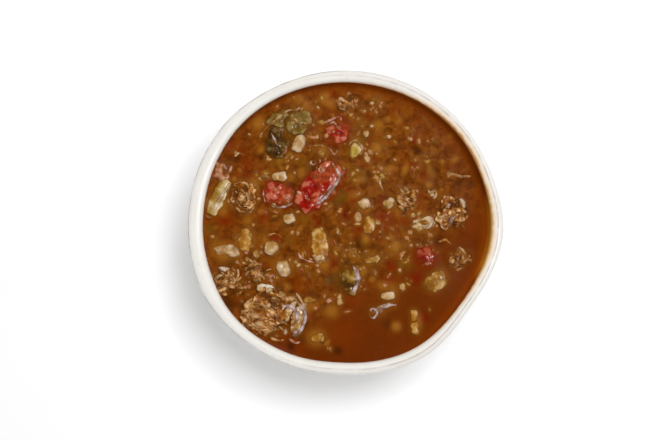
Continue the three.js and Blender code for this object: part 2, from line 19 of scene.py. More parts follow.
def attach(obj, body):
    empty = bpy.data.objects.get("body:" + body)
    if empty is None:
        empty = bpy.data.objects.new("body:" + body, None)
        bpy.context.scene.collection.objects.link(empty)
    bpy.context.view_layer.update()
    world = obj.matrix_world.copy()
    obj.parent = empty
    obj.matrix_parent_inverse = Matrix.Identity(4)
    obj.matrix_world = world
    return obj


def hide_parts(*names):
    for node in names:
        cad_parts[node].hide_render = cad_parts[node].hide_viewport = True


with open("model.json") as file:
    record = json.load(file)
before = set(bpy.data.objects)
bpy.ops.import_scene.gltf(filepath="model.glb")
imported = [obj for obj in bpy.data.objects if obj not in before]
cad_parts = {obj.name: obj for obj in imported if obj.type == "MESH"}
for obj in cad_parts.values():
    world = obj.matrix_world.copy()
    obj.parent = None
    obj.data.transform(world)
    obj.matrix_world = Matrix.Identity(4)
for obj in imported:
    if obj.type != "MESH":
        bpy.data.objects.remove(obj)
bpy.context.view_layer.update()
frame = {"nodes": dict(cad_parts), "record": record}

MM = 0.001
print("solid model:", len(frame["nodes"]), "nodes")

# %% [markdown]
# The measures below are the solid model's own. Lengths are written in millimetres times MM, because
# Blender works in metres here. Where a length has no MM, as the broth's swell and its climb on the wall, the
# sum that uses it is done in millimetres and turned into metres at its end.

# %% Measures of the bowl and the broth
BOWL_HEIGHT = 62 * MM
CREST_RADIUS = 66.9 * MM
OUTER_REACH = 2.8 * MM
INNER_REACH = 2.85 * MM
WALL_INNER_RADIUS = 65.4 * MM
FOOT_HEIGHT = 0.1 * MM
BROTH_LEVEL = 51 * MM
BROTH_RELIEF = 0.35
MENISCUS_RISE = 0.7
MENISCUS_WIDTH = 3.0


def middle_of_foot():
    foot = [v.co for v in frame["nodes"]["bowl"].data.vertices if v.co.z < FOOT_HEIGHT]
    across = [v.x for v in foot]
    along = [v.y for v in foot]
    return Vector(((min(across) + max(across)) / 2, (min(along) + max(along)) / 2, 0))


def from_middle(points):
    return (points[:, 0] - RIM_CENTRE[0]) / MM, (points[:, 1] - RIM_CENTRE[1]) / MM


RIM_CENTRE = middle_of_foot()
print("middle of the rim:", [round(c / MM, 3) for c in RIM_CENTRE])

# %% [markdown]
# ## Camera, floor and light
# The photograph looks almost straight down, from a little over a degree to the right of the middle and
# below it. The light is a large soft lamp high on the upper right, so the shadow is a faint smudge at the
# lower left. The sky straight above is kept dark: a wet surface mirrors what is above it, and a bright sky
# would turn the brown broth grey.

# %% Camera
FRAME_WIDTH = 660
CENTRE_PIXEL = (345.5, 222.0)
PICTURE_CENTRE = (330.0, 220.0)
RIM_MM_PER_PIXEL = 0.45
CAMERA_DISTANCE = 0.70
LEAN_RIGHT = math.radians(1.2)
LEAN_DOWN = math.radians(1.5)
SENSOR_WIDTH = 36.0
NEAREST_SEEN = 0.01


def add_object(name, data):
    made = bpy.data.objects.new(name, data)
    bpy.context.scene.collection.objects.link(made)
    return made


aim = Vector((
    (PICTURE_CENTRE[0] - CENTRE_PIXEL[0]) * RIM_MM_PER_PIXEL * MM,
    (CENTRE_PIXEL[1] - PICTURE_CENTRE[1]) * RIM_MM_PER_PIXEL * MM,
    BOWL_HEIGHT,
))
turned = Euler((LEAN_DOWN, LEAN_RIGHT, 0))
camera_data = bpy.data.cameras.new("camera")
camera = add_object("camera", camera_data)
camera.rotation_euler = turned
camera.location = aim + turned.to_matrix() @ Vector((0, 0, CAMERA_DISTANCE))
camera_data.sensor_width = SENSOR_WIDTH
camera_data.lens = SENSOR_WIDTH * CAMERA_DISTANCE / (FRAME_WIDTH * RIM_MM_PER_PIXEL * MM)
camera_data.clip_start = NEAREST_SEEN
bpy.context.scene.camera = camera
print("lens", round(camera_data.lens, 1), "mm")

# %% Helpers that wire shader nodes
def add_node(tree, kind, inputs=None, **settings):
    made = tree.nodes.new(kind)
    for name, value in settings.items():
        setattr(made, name, value)
    for name, value in (inputs or {}).items():
        if hasattr(value, "is_output"):
            tree.links.new(value, made.inputs[name])
        else:
            made.inputs[name].default_value = value
    return made


def opaque(colour):
    return (*colour, 1) if isinstance(colour, tuple) else colour


def mix_colours(tree, share, first, second):
    inputs = {0: share, 6: opaque(first), 7: opaque(second)}
    return add_node(tree, "ShaderNodeMix", inputs, data_type="RGBA").outputs[2]


def new_material(name):
    material = bpy.data.materials.new(name)
    material.use_nodes = True
    material.node_tree.nodes.clear()
    return material


def finish_material(material, **sockets):
    tree = material.node_tree
    names = {key.replace("_", " "): value for key, value in sockets.items()}
    shader = add_node(tree, "ShaderNodeBsdfPrincipled", names)
    add_node(tree, "ShaderNodeOutputMaterial", {"Surface": shader.outputs["BSDF"]})
    print("finish:", material.name)
    return material


print("helpers for shader nodes ready")

# %% Floor
FLOOR_HALF = 1.5
FLOOR_DROP = 0.2 * MM
FLOOR_DIM = 0.93
FLOOR_BRIGHT = 0.96
FLOOR_GLOW = 0.12


def deselect_all():
    if bpy.context.object and bpy.context.object.mode != "OBJECT":
        bpy.ops.object.mode_set(mode="OBJECT")
    bpy.ops.object.select_all(action="DESELECT")


def floor_finish():
    material = new_material("pale_floor")
    tree = material.node_tree
    grain = add_node(tree, "ShaderNodeTexNoise", {"Scale": 40.0, "Detail": 3.0})
    tone = add_node(tree, "ShaderNodeMapRange", {
        "Value": grain.outputs["Fac"], "To Min": FLOOR_DIM, "To Max": FLOOR_BRIGHT})
    return finish_material(material, Base_Color=tone.outputs["Result"], Roughness=0.9,
                           Emission_Color=(1, 1, 1, 1), Emission_Strength=FLOOR_GLOW)


deselect_all()
bpy.ops.mesh.primitive_plane_add(size=2 * FLOOR_HALF, location=(0, 0, -FLOOR_DROP))
floor = bpy.context.object
floor.name = "floor"
floor.data.materials.append(floor_finish())
print("floor ready")

# %% Light
KEY_HEADING = math.radians(48)
KEY_HEIGHT = math.radians(74)
GLINT_HEADING = math.radians(-14)
GLINT_HEIGHT = math.radians(56)
FILL_HEIGHT = math.radians(41)
SKY_DARK = (0.015, 0.015, 0.016)
SKY_PALE = (0.42, 0.43, 0.45)
SKY_FADE_START = 0.55
SKY_FADE_END = 0.93
MIRRORED_SKY = 0.25
FILLS = [("fill_left", 200, 1.8), ("fill_low", 300, 1.2)]


def soft_lamp(name, heading, height, distance, size, watts, colour):
    data = bpy.data.lights.new(name, "AREA")
    data.size = size
    data.energy = watts
    data.color = colour
    lamp = add_object(name, data)
    way = Vector((
        math.cos(heading) * math.cos(height),
        math.sin(heading) * math.cos(height),
        math.sin(height),
    ))
    lamp.location = way * distance
    lamp.rotation_euler = way.to_track_quat("Z", "Y").to_euler()
    return lamp


key = soft_lamp("key_lamp", KEY_HEADING, KEY_HEIGHT, distance=1.25, size=0.42, watts=10.5,
                colour=(1, 0.985, 1))
key.visible_glossy = False
glint = soft_lamp("glint_lamp", GLINT_HEADING, GLINT_HEIGHT, distance=0.95, size=0.30, watts=4.0,
                  colour=(0.95, 0.92, 1))
glint.visible_diffuse = False
for name, heading, watts in FILLS:
    fill = soft_lamp(name, math.radians(heading), FILL_HEIGHT, distance=1.2, size=0.8, watts=watts,
                     colour=(1, 0.98, 0.94))
    fill.visible_glossy = False
world = bpy.data.worlds.new("studio")
bpy.context.scene.world = world
world.use_nodes = True
sky = world.node_tree
sky.nodes.clear()
sky_place = add_node(sky, "ShaderNodeTexCoord")
sky_height = add_node(sky, "ShaderNodeSeparateXYZ", {"Vector": sky_place.outputs["Generated"]})
sky_blend = add_node(sky, "ShaderNodeMapRange", {
    "Value": sky_height.outputs["Z"], "From Min": SKY_FADE_START, "From Max": SKY_FADE_END})
sky_colour = mix_colours(sky, sky_blend.outputs["Result"], SKY_PALE, SKY_DARK)
mirrored = add_node(sky, "ShaderNodeLightPath").outputs["Is Glossy Ray"]
sky_strength = add_node(sky, "ShaderNodeMapRange", {
    "Value": mirrored, "To Min": 1.0, "To Max": MIRRORED_SKY}).outputs["Result"]
sky_glow = add_node(sky, "ShaderNodeBackground", {"Color": sky_colour, "Strength": sky_strength})
add_node(sky, "ShaderNodeOutputWorld", {"Surface": sky_glow.outputs["Background"]})
bpy.context.scene.view_settings.view_transform = "Standard"

# %% [markdown]
# ## Shared finishes
# Several finishes share the same effects, so each effect is a shader node group, made once: patches of two
# tones, a film of broth that clings to the low parts of a piece, fine wet bumps, and specks.

# %% Helpers for shader groups
def new_group(name, inputs, outputs):
    group = bpy.data.node_groups.new(name, "ShaderNodeTree")
    for socket_name, kind, value in inputs:
        socket = group.interface.new_socket(socket_name, in_out="INPUT", socket_type="NodeSocket" + kind)
        if value is not None:
            socket.default_value = value
    for socket_name, kind in outputs:
        group.interface.new_socket(socket_name, in_out="OUTPUT", socket_type="NodeSocket" + kind)
    entry = add_node(group, "NodeGroupInput")
    leave = add_node(group, "NodeGroupOutput")
    return group, entry.outputs, leave


def place_group(tree, name, inputs):
    inputs = {socket: opaque(value) for socket, value in inputs.items()}
    return add_node(tree, "ShaderNodeGroup", inputs, node_tree=bpy.data.node_groups[name]).outputs


def object_place(tree):
    return add_node(tree, "ShaderNodeTexCoord").outputs["Object"]


def attribute(tree, name):
    return add_node(tree, "ShaderNodeAttribute", attribute_name=name).outputs["Fac"]


def calculate(tree, operation, first, second, clamp=False):
    inputs = {0: first, 1: second}
    return add_node(tree, "ShaderNodeMath", inputs, operation=operation, use_clamp=clamp).outputs[0]


def tinted(tree, colour, mask, share, tint):
    return mix_colours(tree, calculate(tree, "MULTIPLY", mask, share), colour, tint)


def clouds(tree, place, size, detail, **more):
    inputs = {"Vector": place, "Scale": size, "Detail": detail, **more}
    return add_node(tree, "ShaderNodeTexNoise", inputs).outputs["Fac"]


def spread_out(tree, value, low, high, to_low=0.0, to_high=1.0):
    return add_node(tree, "ShaderNodeMapRange", {
        "Value": value, "From Min": low, "From Max": high, "To Min": to_low, "To Max": to_high},
        interpolation_type="SMOOTHSTEP").outputs["Result"]


print("helpers for shader groups ready")

# %% Patches of two tones
def patch_group():
    group, entry, leave = new_group("patches", [
        ("Vector", "Vector", None), ("Size", "Float", 300.0), ("Detail", "Float", 3.0),
        ("Wisps", "Float", 0.0), ("Push", "Float", 0.0), ("Edge", "Float", 0.1),
        ("First", "Color", None), ("Second", "Color", None)],
        [("Colour", "Color")])
    tones = clouds(group, entry["Vector"], entry["Size"], entry["Detail"], Distortion=entry["Wisps"])
    pushed = calculate(group, "ADD", tones, entry["Push"])
    low = calculate(group, "SUBTRACT", 0.5, entry["Edge"])
    high = calculate(group, "ADD", 0.5, entry["Edge"])
    mask = spread_out(group, pushed, low, high)
    group.links.new(mix_colours(group, mask, entry["First"], entry["Second"]), leave.inputs["Colour"])


patch_group()
print("patches ready")

# %% Film of broth on the low parts of a piece
FILM_GRAIN = 650.0
FILM_RAGGED = 0.9
FILM_FULL = 0.05
FILM_GONE = 0.75


def film_group():
    group, entry, leave = new_group("broth film", [
        ("Vector", "Vector", None), ("Colour", "Color", None), ("Broth", "Color", None),
        ("Bare", "Float", 0.5), ("Thin", "Float", 0.1), ("Thick", "Float", 0.8)],
        [("Colour", "Color")])
    ragged = calculate(group, "SUBTRACT", clouds(group, entry["Vector"], FILM_GRAIN, 4.0), 0.5)
    bare = calculate(group, "ADD", entry["Bare"], calculate(group, "MULTIPLY", ragged, FILM_RAGGED))
    low = spread_out(group, bare, FILM_FULL, FILM_GONE, 1.0, 0.0)
    film = calculate(group, "MULTIPLY", low, entry["Thick"])
    mask = calculate(group, "ADD", film, entry["Thin"], clamp=True)
    group.links.new(mix_colours(group, mask, entry["Colour"], entry["Broth"]), leave.inputs["Colour"])


film_group()
print("broth film ready")

# %% Fine wet bumps
def bumps_group():
    group, entry, leave = new_group("wet bumps", [
        ("Vector", "Vector", None), ("Size", "Float", 1500.0), ("Depth", "Float", 0.1 * MM),
        ("Coarse", "Float", 500.0)],
        [("Normal", "Vector"), ("Height", "Float")])
    fine = clouds(group, entry["Vector"], entry["Size"], 4.0)
    coarse = clouds(group, entry["Vector"], entry["Coarse"], 2.0)
    height = calculate(group, "ADD", calculate(group, "MULTIPLY", coarse, 2.0), fine)
    bump = add_node(group, "ShaderNodeBump", {"Height": height, "Distance": entry["Depth"], "Strength": 1.0})
    group.links.new(bump.outputs["Normal"], leave.inputs["Normal"])
    group.links.new(height, leave.inputs["Height"])


bumps_group()
print("wet bumps ready")

# %% Specks
def specks_group():
    group, entry, leave = new_group("specks", [
        ("Vector", "Vector", None), ("Size", "Float", 700.0), ("Radius", "Float", 0.2),
        ("Share", "Float", 0.3)],
        [("Mask", "Float")])
    cells = add_node(group, "ShaderNodeTexVoronoi", {"Vector": entry["Vector"], "Scale": entry["Size"]})
    near = calculate(group, "LESS_THAN", cells.outputs["Distance"], entry["Radius"])
    draw = add_node(group, "ShaderNodeSeparateColor", {"Color": cells.outputs["Color"]}).outputs["Red"]
    kept = calculate(group, "LESS_THAN", draw, entry["Share"])
    group.links.new(calculate(group, "MULTIPLY", near, kept), leave.inputs["Mask"])


specks_group()
print("specks ready")

# %% [markdown]
# ## The bowl
# The real bowl is thrown by hand: not a true circle, with a rounded lip, and faint turning rings. The solid
# model has its form in flat facets, so a copy of it is merged, its triangles are joined into quads, and a
# Subdivision Surface rounds it. A soft cloud texture then makes the wall as uneven as clay is.

# %% Helpers that copy a node and finish a piece
SAME_POINT = 0.002 * MM


def activate(piece):
    deselect_all()
    piece.select_set(True)
    bpy.context.view_layer.objects.active = piece


def copy_of_node(node, name):
    piece = add_object(name, frame["nodes"][node].data.copy())
    piece.data.materials.clear()
    activate(piece)
    bpy.ops.object.mode_set(mode="EDIT")
    bpy.ops.mesh.select_all(action="SELECT")
    bpy.ops.mesh.remove_doubles(threshold=SAME_POINT)
    bpy.ops.object.mode_set(mode="OBJECT")
    return piece


def apply_modifiers(piece):
    activate(piece)
    for modifier in list(piece.modifiers):
        bpy.ops.object.modifier_apply(modifier=modifier.name)


def add_rounding(piece, levels):
    rounding = piece.modifiers.new("rounding", "SUBSURF")
    rounding.levels = levels
    rounding.render_levels = levels


def add_unevenness(piece, name, size, strength, depth=2):
    texture = bpy.data.textures.new(name, "CLOUDS")
    texture.noise_scale = size
    texture.noise_depth = depth
    modifier = piece.modifiers.new(name, "DISPLACE")
    modifier.texture = texture
    modifier.texture_coords = "LOCAL"
    modifier.strength = strength


def settle(piece, material, nodes=()):
    activate(piece)
    bpy.ops.object.shade_smooth()
    piece.data.materials.clear()
    piece.data.materials.append(material)
    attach(piece, "root")
    if nodes:
        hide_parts(*nodes)
    print(piece.name, len(piece.data.polygons), "faces")
    return piece


print("helpers for pieces ready")

# %% How the rim swells: angle in degrees, rise in millimetres, spread in degrees
RIM_SWELLS = [
    (357, 2.3, 11), (325, -1.7, 10), (301, 1.0, 8), (267, -0.9, 9),
    (206, 2.5, 16), (166, 1.7, 20), (138, 0.8, 10), (85, -0.3, 32),
]
INNER_SWELLS = [
    (358, 0.4, 22), (268, -0.7, 9), (225, 0.9, 12), (200, -0.5, 7),
    (172, -0.6, 16), (126, 0.45, 10), (82, -0.35, 12), (35, 0.6, 10),
]
INNER_SWELL_SHARE = 0.5


def sum_of_swells(swells, angles):
    total = np.zeros_like(angles)
    for angle, rise, spread in swells:
        away = (angles - angle + 180) % 360 - 180
        total += rise * np.exp(-0.5 * (away / spread) ** 2)
    return total * MM


def swell_at(angles, inward=0.0):
    share = 1 - inward * (1 - INNER_SWELL_SHARE)
    return share * sum_of_swells(RIM_SWELLS, angles) + inward * sum_of_swells(INNER_SWELLS, angles)


def polar(points):
    across = points[:, :2] - np.array(RIM_CENTRE[:2])
    radius = np.hypot(across[:, 0], across[:, 1])
    return radius, np.degrees(np.arctan2(across[:, 1], across[:, 0])) % 360


def point_array(piece):
    points = np.empty(len(piece.data.vertices) * 3)
    piece.data.vertices.foreach_get("co", points)
    return points.reshape(-1, 3)


def move_points(piece, points):
    piece.data.vertices.foreach_set("co", points.ravel())


def store(piece, name, values):
    layer = piece.data.attributes.new(name, "FLOAT", "POINT")
    layer.data.foreach_set("value", np.asarray(values, dtype=np.float32))


print("largest swell", round(float(swell_at(np.arange(360.0)).max() / MM), 2), "mm")

# %% [markdown]
# The glaze is off-white and glossy. Dark lines are painted on the lip as painted shade: along the crest,
# mostly on the right, and along the outer edge, mostly on the left, where each side of the lip turns away
# from the lamp. Broth has stained the inner edge; toward the right the stain grows wider and stronger, and
# that extra is painted shade of the inner side there. These marks follow the rim, so a cloud pattern alone
# can't place them. Each point of the wall stores how much of each mark it has, as an attribute, and the
# finish reads that and breaks it up with clouds.

# %% Glaze
PAINTED_SHADE_LINE_TONE = (0.42, 0.34, 0.31)
CLAY_SPECK_TONE = (0.45, 0.36, 0.28)
STAIN_AND_SHADE_TONES = [(0.22, 0.72, (0.88, 0.64, 0.39)), (0.56, 0.82, (0.52, 0.23, 0.045))]
AMBER_TONE = (0.66, 0.36, 0.08)


def glaze_finish():
    material = new_material("stoneware_glaze")
    tree = material.node_tree
    place = object_place(tree)
    body = place_group(tree, "patches", {
        "Vector": place, "Size": 28.0, "Edge": 0.3,
        "First": (0.87, 0.85, 0.775), "Second": (0.91, 0.895, 0.825)})
    warm = place_group(tree, "patches", {
        "Vector": place, "Size": 90.0, "Edge": 0.25,
        "First": (0.80, 0.74, 0.66), "Second": (0.88, 0.86, 0.82)})
    colour = mix_colours(tree, 0.25, body["Colour"], warm["Colour"])
    # Painted shade: dark lines along the crest and the outer edge of the lip, broken up by clouds.
    broken = spread_out(tree, clouds(tree, place, 160.0, 5.0), 0.34, 0.62, 0.35, 1.0)
    colour = tinted(tree, colour, attribute(tree, "painted_shade_lines"), broken, PAINTED_SHADE_LINE_TONE)
    specks = place_group(tree, "specks", {"Vector": place, "Size": 260.0, "Radius": 0.07, "Share": 0.25})
    colour = tinted(tree, colour, specks["Mask"], 0.35, CLAY_SPECK_TONE)
    patchy_clouds = spread_out(tree, clouds(tree, place, 300.0, 4.0), 0.3, 0.65, 0.8, 1.0)
    # Broth stain on the inner edge of the lip; its extra width and strength on the right is painted shade.
    stain_and_shade = calculate(tree, "MULTIPLY", attribute(tree, "broth_stain_and_painted_shade"), patchy_clouds)
    for start, full, tone in STAIN_AND_SHADE_TONES:
        colour = mix_colours(tree, spread_out(tree, stain_and_shade, start, full, 0.0, 0.9), colour, tone)
    colour = tinted(tree, colour, attribute(tree, "amber_lip"), 0.85, AMBER_TONE)
    bumps = place_group(tree, "wet bumps", {
        "Vector": place, "Size": 500.0, "Depth": 0.012 * MM, "Coarse": 120.0})
    rough = spread_out(tree, bumps["Height"], 1.1, 1.9, 0.26, 0.4)
    return finish_material(material, Base_Color=colour, Roughness=rough, Normal=bumps["Normal"])


glaze = glaze_finish()

# %% Round the bowl off
BOWL_LEVELS = 3
CLAY_SIZE = 22 * MM
CLAY_RISE = 0.25 * MM


def make_bowl():
    piece = copy_of_node("bowl", "stoneware_bowl")
    bpy.ops.object.mode_set(mode="EDIT")
    bpy.ops.mesh.select_all(action="SELECT")
    bpy.ops.mesh.tris_convert_to_quads()
    bpy.ops.object.mode_set(mode="OBJECT")
    add_rounding(piece, BOWL_LEVELS)
    add_unevenness(piece, "uneven_clay", CLAY_SIZE, CLAY_RISE)
    apply_modifiers(piece)
    points = point_array(piece)
    points[:, 2] = np.maximum(points[:, 2], 0)
    move_points(piece, points)
    return piece


bowl = make_bowl()
points = point_array(bowl)
print("bowl has", len(points), "points")

# %% Helpers that measure along the rim
HIDDEN_BELOW = 4 * MM
AMBER_HEADING = -6
AMBER_START = 0.95
AMBER_FADE = 0.035


def facing(angle, heading):
    return np.cos(np.radians(angle - heading))


def amber_side(points):
    return np.clip((facing(polar(points)[1], AMBER_HEADING) - AMBER_START) / AMBER_FADE, 0, 1)


def on_inside(points):
    radius, angle = polar(points)
    return (radius < CREST_RADIUS + swell_at(angle, 0.5)) & (points[:, 2] > BROTH_LEVEL - HIDDEN_BELOW)


def past_inner_edge(points):
    radius, angle = polar(points)
    return np.maximum(radius - (CREST_RADIUS - INNER_REACH + swell_at(angle, 1.0)), 0)


print("points inside the lip:", int(on_inside(points).sum()))

# %% Mark the painted shade lines on the lip, and where broth has touched the wall
LIP_DEPTH = 4 * MM
CREST_LINE = 0.36 * MM
CREST_LINE_HEADING = 350
EDGE_LINE = 0.24 * MM
EDGE_LINE_INSET = 0.75 * MM
SHADED_SIDE_HEADING = 14
STAIN_REACH = 0.5 * MM
SHADED_SIDE_EXTRA_REACH = 2.5 * MM
AMBER_ON_LIP = 0.9 * MM
FADE_HEIGHT = 3 * MM
WASHED_DEPTH = 3.4 * MM


# Painted shade: a dark line along the crest, strongest on the right where the inner side turns into shade,
# and one along the outer edge, strongest on the left where the outer side is in shade.
def painted_shade_lines(points):
    radius, angle = polar(points)
    crest = CREST_RADIUS + swell_at(angle, 0.5)
    outer = CREST_RADIUS + OUTER_REACH - EDGE_LINE_INSET + swell_at(angle)
    side = np.clip(0.5 + 0.9 * facing(angle, CREST_LINE_HEADING), 0, 1)
    on_crest = np.exp(-((radius - crest) / CREST_LINE) ** 2) * (0.08 + 0.72 * side)
    on_edge = np.exp(-((radius - outer) / EDGE_LINE) ** 2) * (0.1 + 0.9 * (1 - side))
    return np.clip(on_crest + on_edge, 0, 1) * (points[:, 2] > BOWL_HEIGHT - LIP_DEPTH)


# The broth stain is real on the inner edge and on the wall below it. The extra reach and strength toward the
# right is painted shade of the inner side, which faces away from the lamp.
def broth_stain_and_painted_shade(points):
    right = np.clip(1.1 * facing(polar(points)[1], SHADED_SIDE_HEADING), 0, 1) ** 1.5
    reach = STAIN_REACH + SHADED_SIDE_EXTRA_REACH * right
    on_lip = np.exp(-past_inner_edge(points) / reach) * (0.47 + 0.5 * right)
    below = np.clip((BOWL_HEIGHT - WASHED_DEPTH - points[:, 2]) / FADE_HEIGHT, 0, 1)
    return on_inside(points) * np.maximum(on_lip, 0.7 * below)


def amber_on_lip(points):
    reach = np.exp(-(past_inner_edge(points) / AMBER_ON_LIP) ** 2)
    high = np.clip((points[:, 2] - BOWL_HEIGHT) / FADE_HEIGHT + 1.6, 0.2, 1)
    return on_inside(points) * amber_side(points) * reach * high


store(bowl, "painted_shade_lines", painted_shade_lines(points))
store(bowl, "broth_stain_and_painted_shade", broth_stain_and_painted_shade(points))
store(bowl, "amber_lip", amber_on_lip(points))
settle(bowl, glaze, ["bowl"])

# %% [markdown]
# ## The pieces in the broth
# Each piece starts as a copy of its solid. A voxel Remesh gives it an even fine mesh, Smooth takes the
# facets off, and one Subdivision Surface makes it finer still. Then every point moves along its normal by
# the unevenness of its stuff: soft dents for vegetables, dents with fine ridges for thick skin, and crumbs
# crossed by fibres for meat. The rise of each point is kept: the finish paints the hollows dark, partly as
# dark broth held there and partly as painted shade, and paints a highlight on the ridges.

# %% Unevenness of each stuff, between about -1 and 1, at a place in millimetres
VOXEL = 0.45 * MM
SOFT_DENT = 3.2
GRAIN_RATE = 1.1
SKIN_DENT = 3.8
SKIN_RIDGE = 3.2
BIT_DENT = 2.8
GRIT = 1.1
MEAT_DENT = 4.6
MEAT_RIDGE = 3.4
CRUMB_SIZE = 2.5
CRUMB_MIDDLE = 0.5
FIBRE_WIDTH = 3.8
FIBRE_SWAY = 2.2
SWAY_LENGTH = 5.5


def dents(place, size):
    return noise.noise(place / size) + 0.45 * noise.noise(place * (2.3 / size))


def ridges(place, size):
    return 0.6 - 2.4 * abs(noise.noise(place / size))


def soft_stuff(place, middle, heading):
    return dents(place, SOFT_DENT) + 0.12 * noise.noise(place * GRAIN_RATE)


def skin_stuff(place, middle, heading):
    return dents(place, SKIN_DENT) + 0.22 * ridges(place, SKIN_RIDGE)


def crumb_stuff(place, middle, heading):
    return dents(place, BIT_DENT) + 0.8 * dents(place, GRIT)


def meat_stuff(place, middle, heading):
    crumbs = CRUMB_MIDDLE - noise.voronoi(place / CRUMB_SIZE)[0][0]
    if heading is None:
        return 1.2 * crumbs + 0.9 * dents(place, MEAT_DENT) + 0.45 * ridges(place, MEAT_RIDGE)
    sway = FIBRE_SWAY * noise.noise(place / SWAY_LENGTH)
    away = place - middle
    across = away.y * math.cos(math.radians(heading)) - away.x * math.sin(math.radians(heading))
    fibre = ridges(Vector(((away.x + away.y) * 0.22, across + sway, place.z * 0.5)), FIBRE_WIDTH)
    return 0.7 * fibre + 0.8 * crumbs + 0.8 * dents(place, MEAT_DENT)


print("voxel", VOXEL / MM, "mm")

# %% Recipe for a fine piece
SHAPES = {
    "beef": (2, meat_stuff, 1.15), "red_pepper": (4, skin_stuff, 0.75), "green_pepper": (4, skin_stuff, 0.75),
    "yellow_pepper": (3, soft_stuff, 0.6), "celery": (3, soft_stuff, 0.45), "onion": (3, soft_stuff, 0.6),
}
FIBRE_HEADINGS = {"beef_shredded": -18, "beef_tan": 65, "beef_lower_left": 30, "beef_left_edge": 70}
SOFTEN_SHARE = 0.5
RELIEF_SPREAD = 0.24


def roughen(piece, stuff, strength, heading=None):
    points = point_array(piece)
    middle = Vector(points.mean(axis=0)) / MM
    rise = np.array([stuff(v.co / MM, middle, heading) for v in piece.data.vertices])
    normals = np.array([v.normal[:] for v in piece.data.vertices])
    move_points(piece, points + normals * rise[:, None] * strength * MM)
    store(piece, "relief", np.clip(0.5 + RELIEF_SPREAD * (rise - rise.mean()) / rise.std(), 0, 1))


def fine_piece(node, rounds, stuff, strength):
    piece = copy_of_node(node, "fine_" + node)
    remesh = piece.modifiers.new("even mesh", "REMESH")
    remesh.mode = "VOXEL"
    remesh.voxel_size = VOXEL
    soften = piece.modifiers.new("soften", "SMOOTH")
    soften.factor = SOFTEN_SHARE
    soften.iterations = rounds
    add_rounding(piece, 1)
    apply_modifiers(piece)
    roughen(piece, stuff, strength, FIBRE_HEADINGS.get(node))
    return piece


print("shapes for", sorted(SHAPES))

# %% Level of the broth, and how far a piece stands out of it
WET_EDGE = 0.2 * MM
LEAST_STAND = 0.5 * MM
STAND_SHARE = 0.8


def level_at(x, y):
    slow = np.sin(x / 9 + 0.6) * np.cos(y / 11 - 0.4) + np.sin((x - y) / 15 + 2.1)
    return BROTH_LEVEL + BROTH_RELIEF * slow * MM


def bare_share(points):
    over = points[:, 2] - level_at(*from_middle(points)) - WET_EDGE
    return np.clip(over / max(STAND_SHARE * over.max(), LEAST_STAND), 0, 1)


def along_share(points, turn):
    way = np.array([math.cos(math.radians(turn)), math.sin(math.radians(turn))])
    run = points[:, :2] @ way
    return (run - run.min()) / (run.max() - run.min())


print("level in the middle:", round(float(level_at(0.0, 0.0)) / MM, 2), "mm")

# %% [markdown]
# A cooked piece changes from one end to the other: a pepper strip is red skin at one end and pink flesh at
# the other. So each piece stores how far along it a point lies, and how far out of the broth, and its
# finish blends two tones by the first and browns the piece by the second.

# %% Recipe for the finish of a piece
BROTH_BROWN = (0.175, 0.048, 0.004)
END_PUSH = 0.55
FLECK_SIZE = 1.7
FLECK_STRENGTH = 1.15
LIGHT_DEPTH = 1.6 * MM


def piece_finish(name, near, far, dark, pale, size, film, gloss, painted_light_share=0.5, soak=0.0, grain=0.02):
    material = new_material(name)
    tree = material.node_tree
    place = object_place(tree)
    from_half = calculate(tree, "SUBTRACT", attribute(tree, "along"), 0.5)
    tone = place_group(tree, "patches", {
        "Vector": place, "Size": size, "Edge": 0.14, "Wisps": 0.6, "Detail": 2.0,
        "Push": calculate(tree, "MULTIPLY", from_half, END_PUSH), "First": near, "Second": far})
    # Cloud noise added to the relief, so dark and pale flecks break up the painted shade and highlight.
    patchy_clouds = clouds(tree, place, FLECK_SIZE * size, 4.0, Roughness=0.68, Distortion=0.6)
    flecks = calculate(tree, "MULTIPLY", calculate(tree, "SUBTRACT", patchy_clouds, 0.5), FLECK_STRENGTH)
    height = calculate(tree, "ADD", attribute(tree, "relief"), flecks)
    # Painted shade and painted highlight: low relief and dark flecks take the dark tone, partly as dark broth
    # in the hollows and partly as painted shade; high relief and pale flecks take the pale tone as a painted
    # highlight.
    colour = mix_colours(tree, spread_out(tree, height, 0.12, 0.52, painted_light_share, 0.0), tone["Colour"], dark)
    colour = mix_colours(tree, spread_out(tree, height, 0.50, 0.92, 0.0, painted_light_share), colour, pale)
    thin, thick = film
    coated = place_group(tree, "broth film", {
        "Vector": place, "Colour": colour, "Broth": BROTH_BROWN, "Bare": attribute(tree, "bare"),
        "Thin": thin, "Thick": thick})
    wet = place_group(tree, "wet bumps", {
        "Vector": place, "Size": 1300.0, "Depth": grain * MM, "Coarse": 420.0})
    shine = spread_out(tree, attribute(tree, "bare"), 0.15, 0.65, 0.0, 0.4)
    return finish_material(
        material, Base_Color=coated["Colour"], Roughness=gloss, Normal=wet["Normal"],
        Specular_IOR_Level=shine, Subsurface_Weight=soak, Subsurface_Scale=LIGHT_DEPTH,
        Subsurface_Radius=(1.0, 0.55, 0.25))


print("broth brown", BROTH_BROWN)

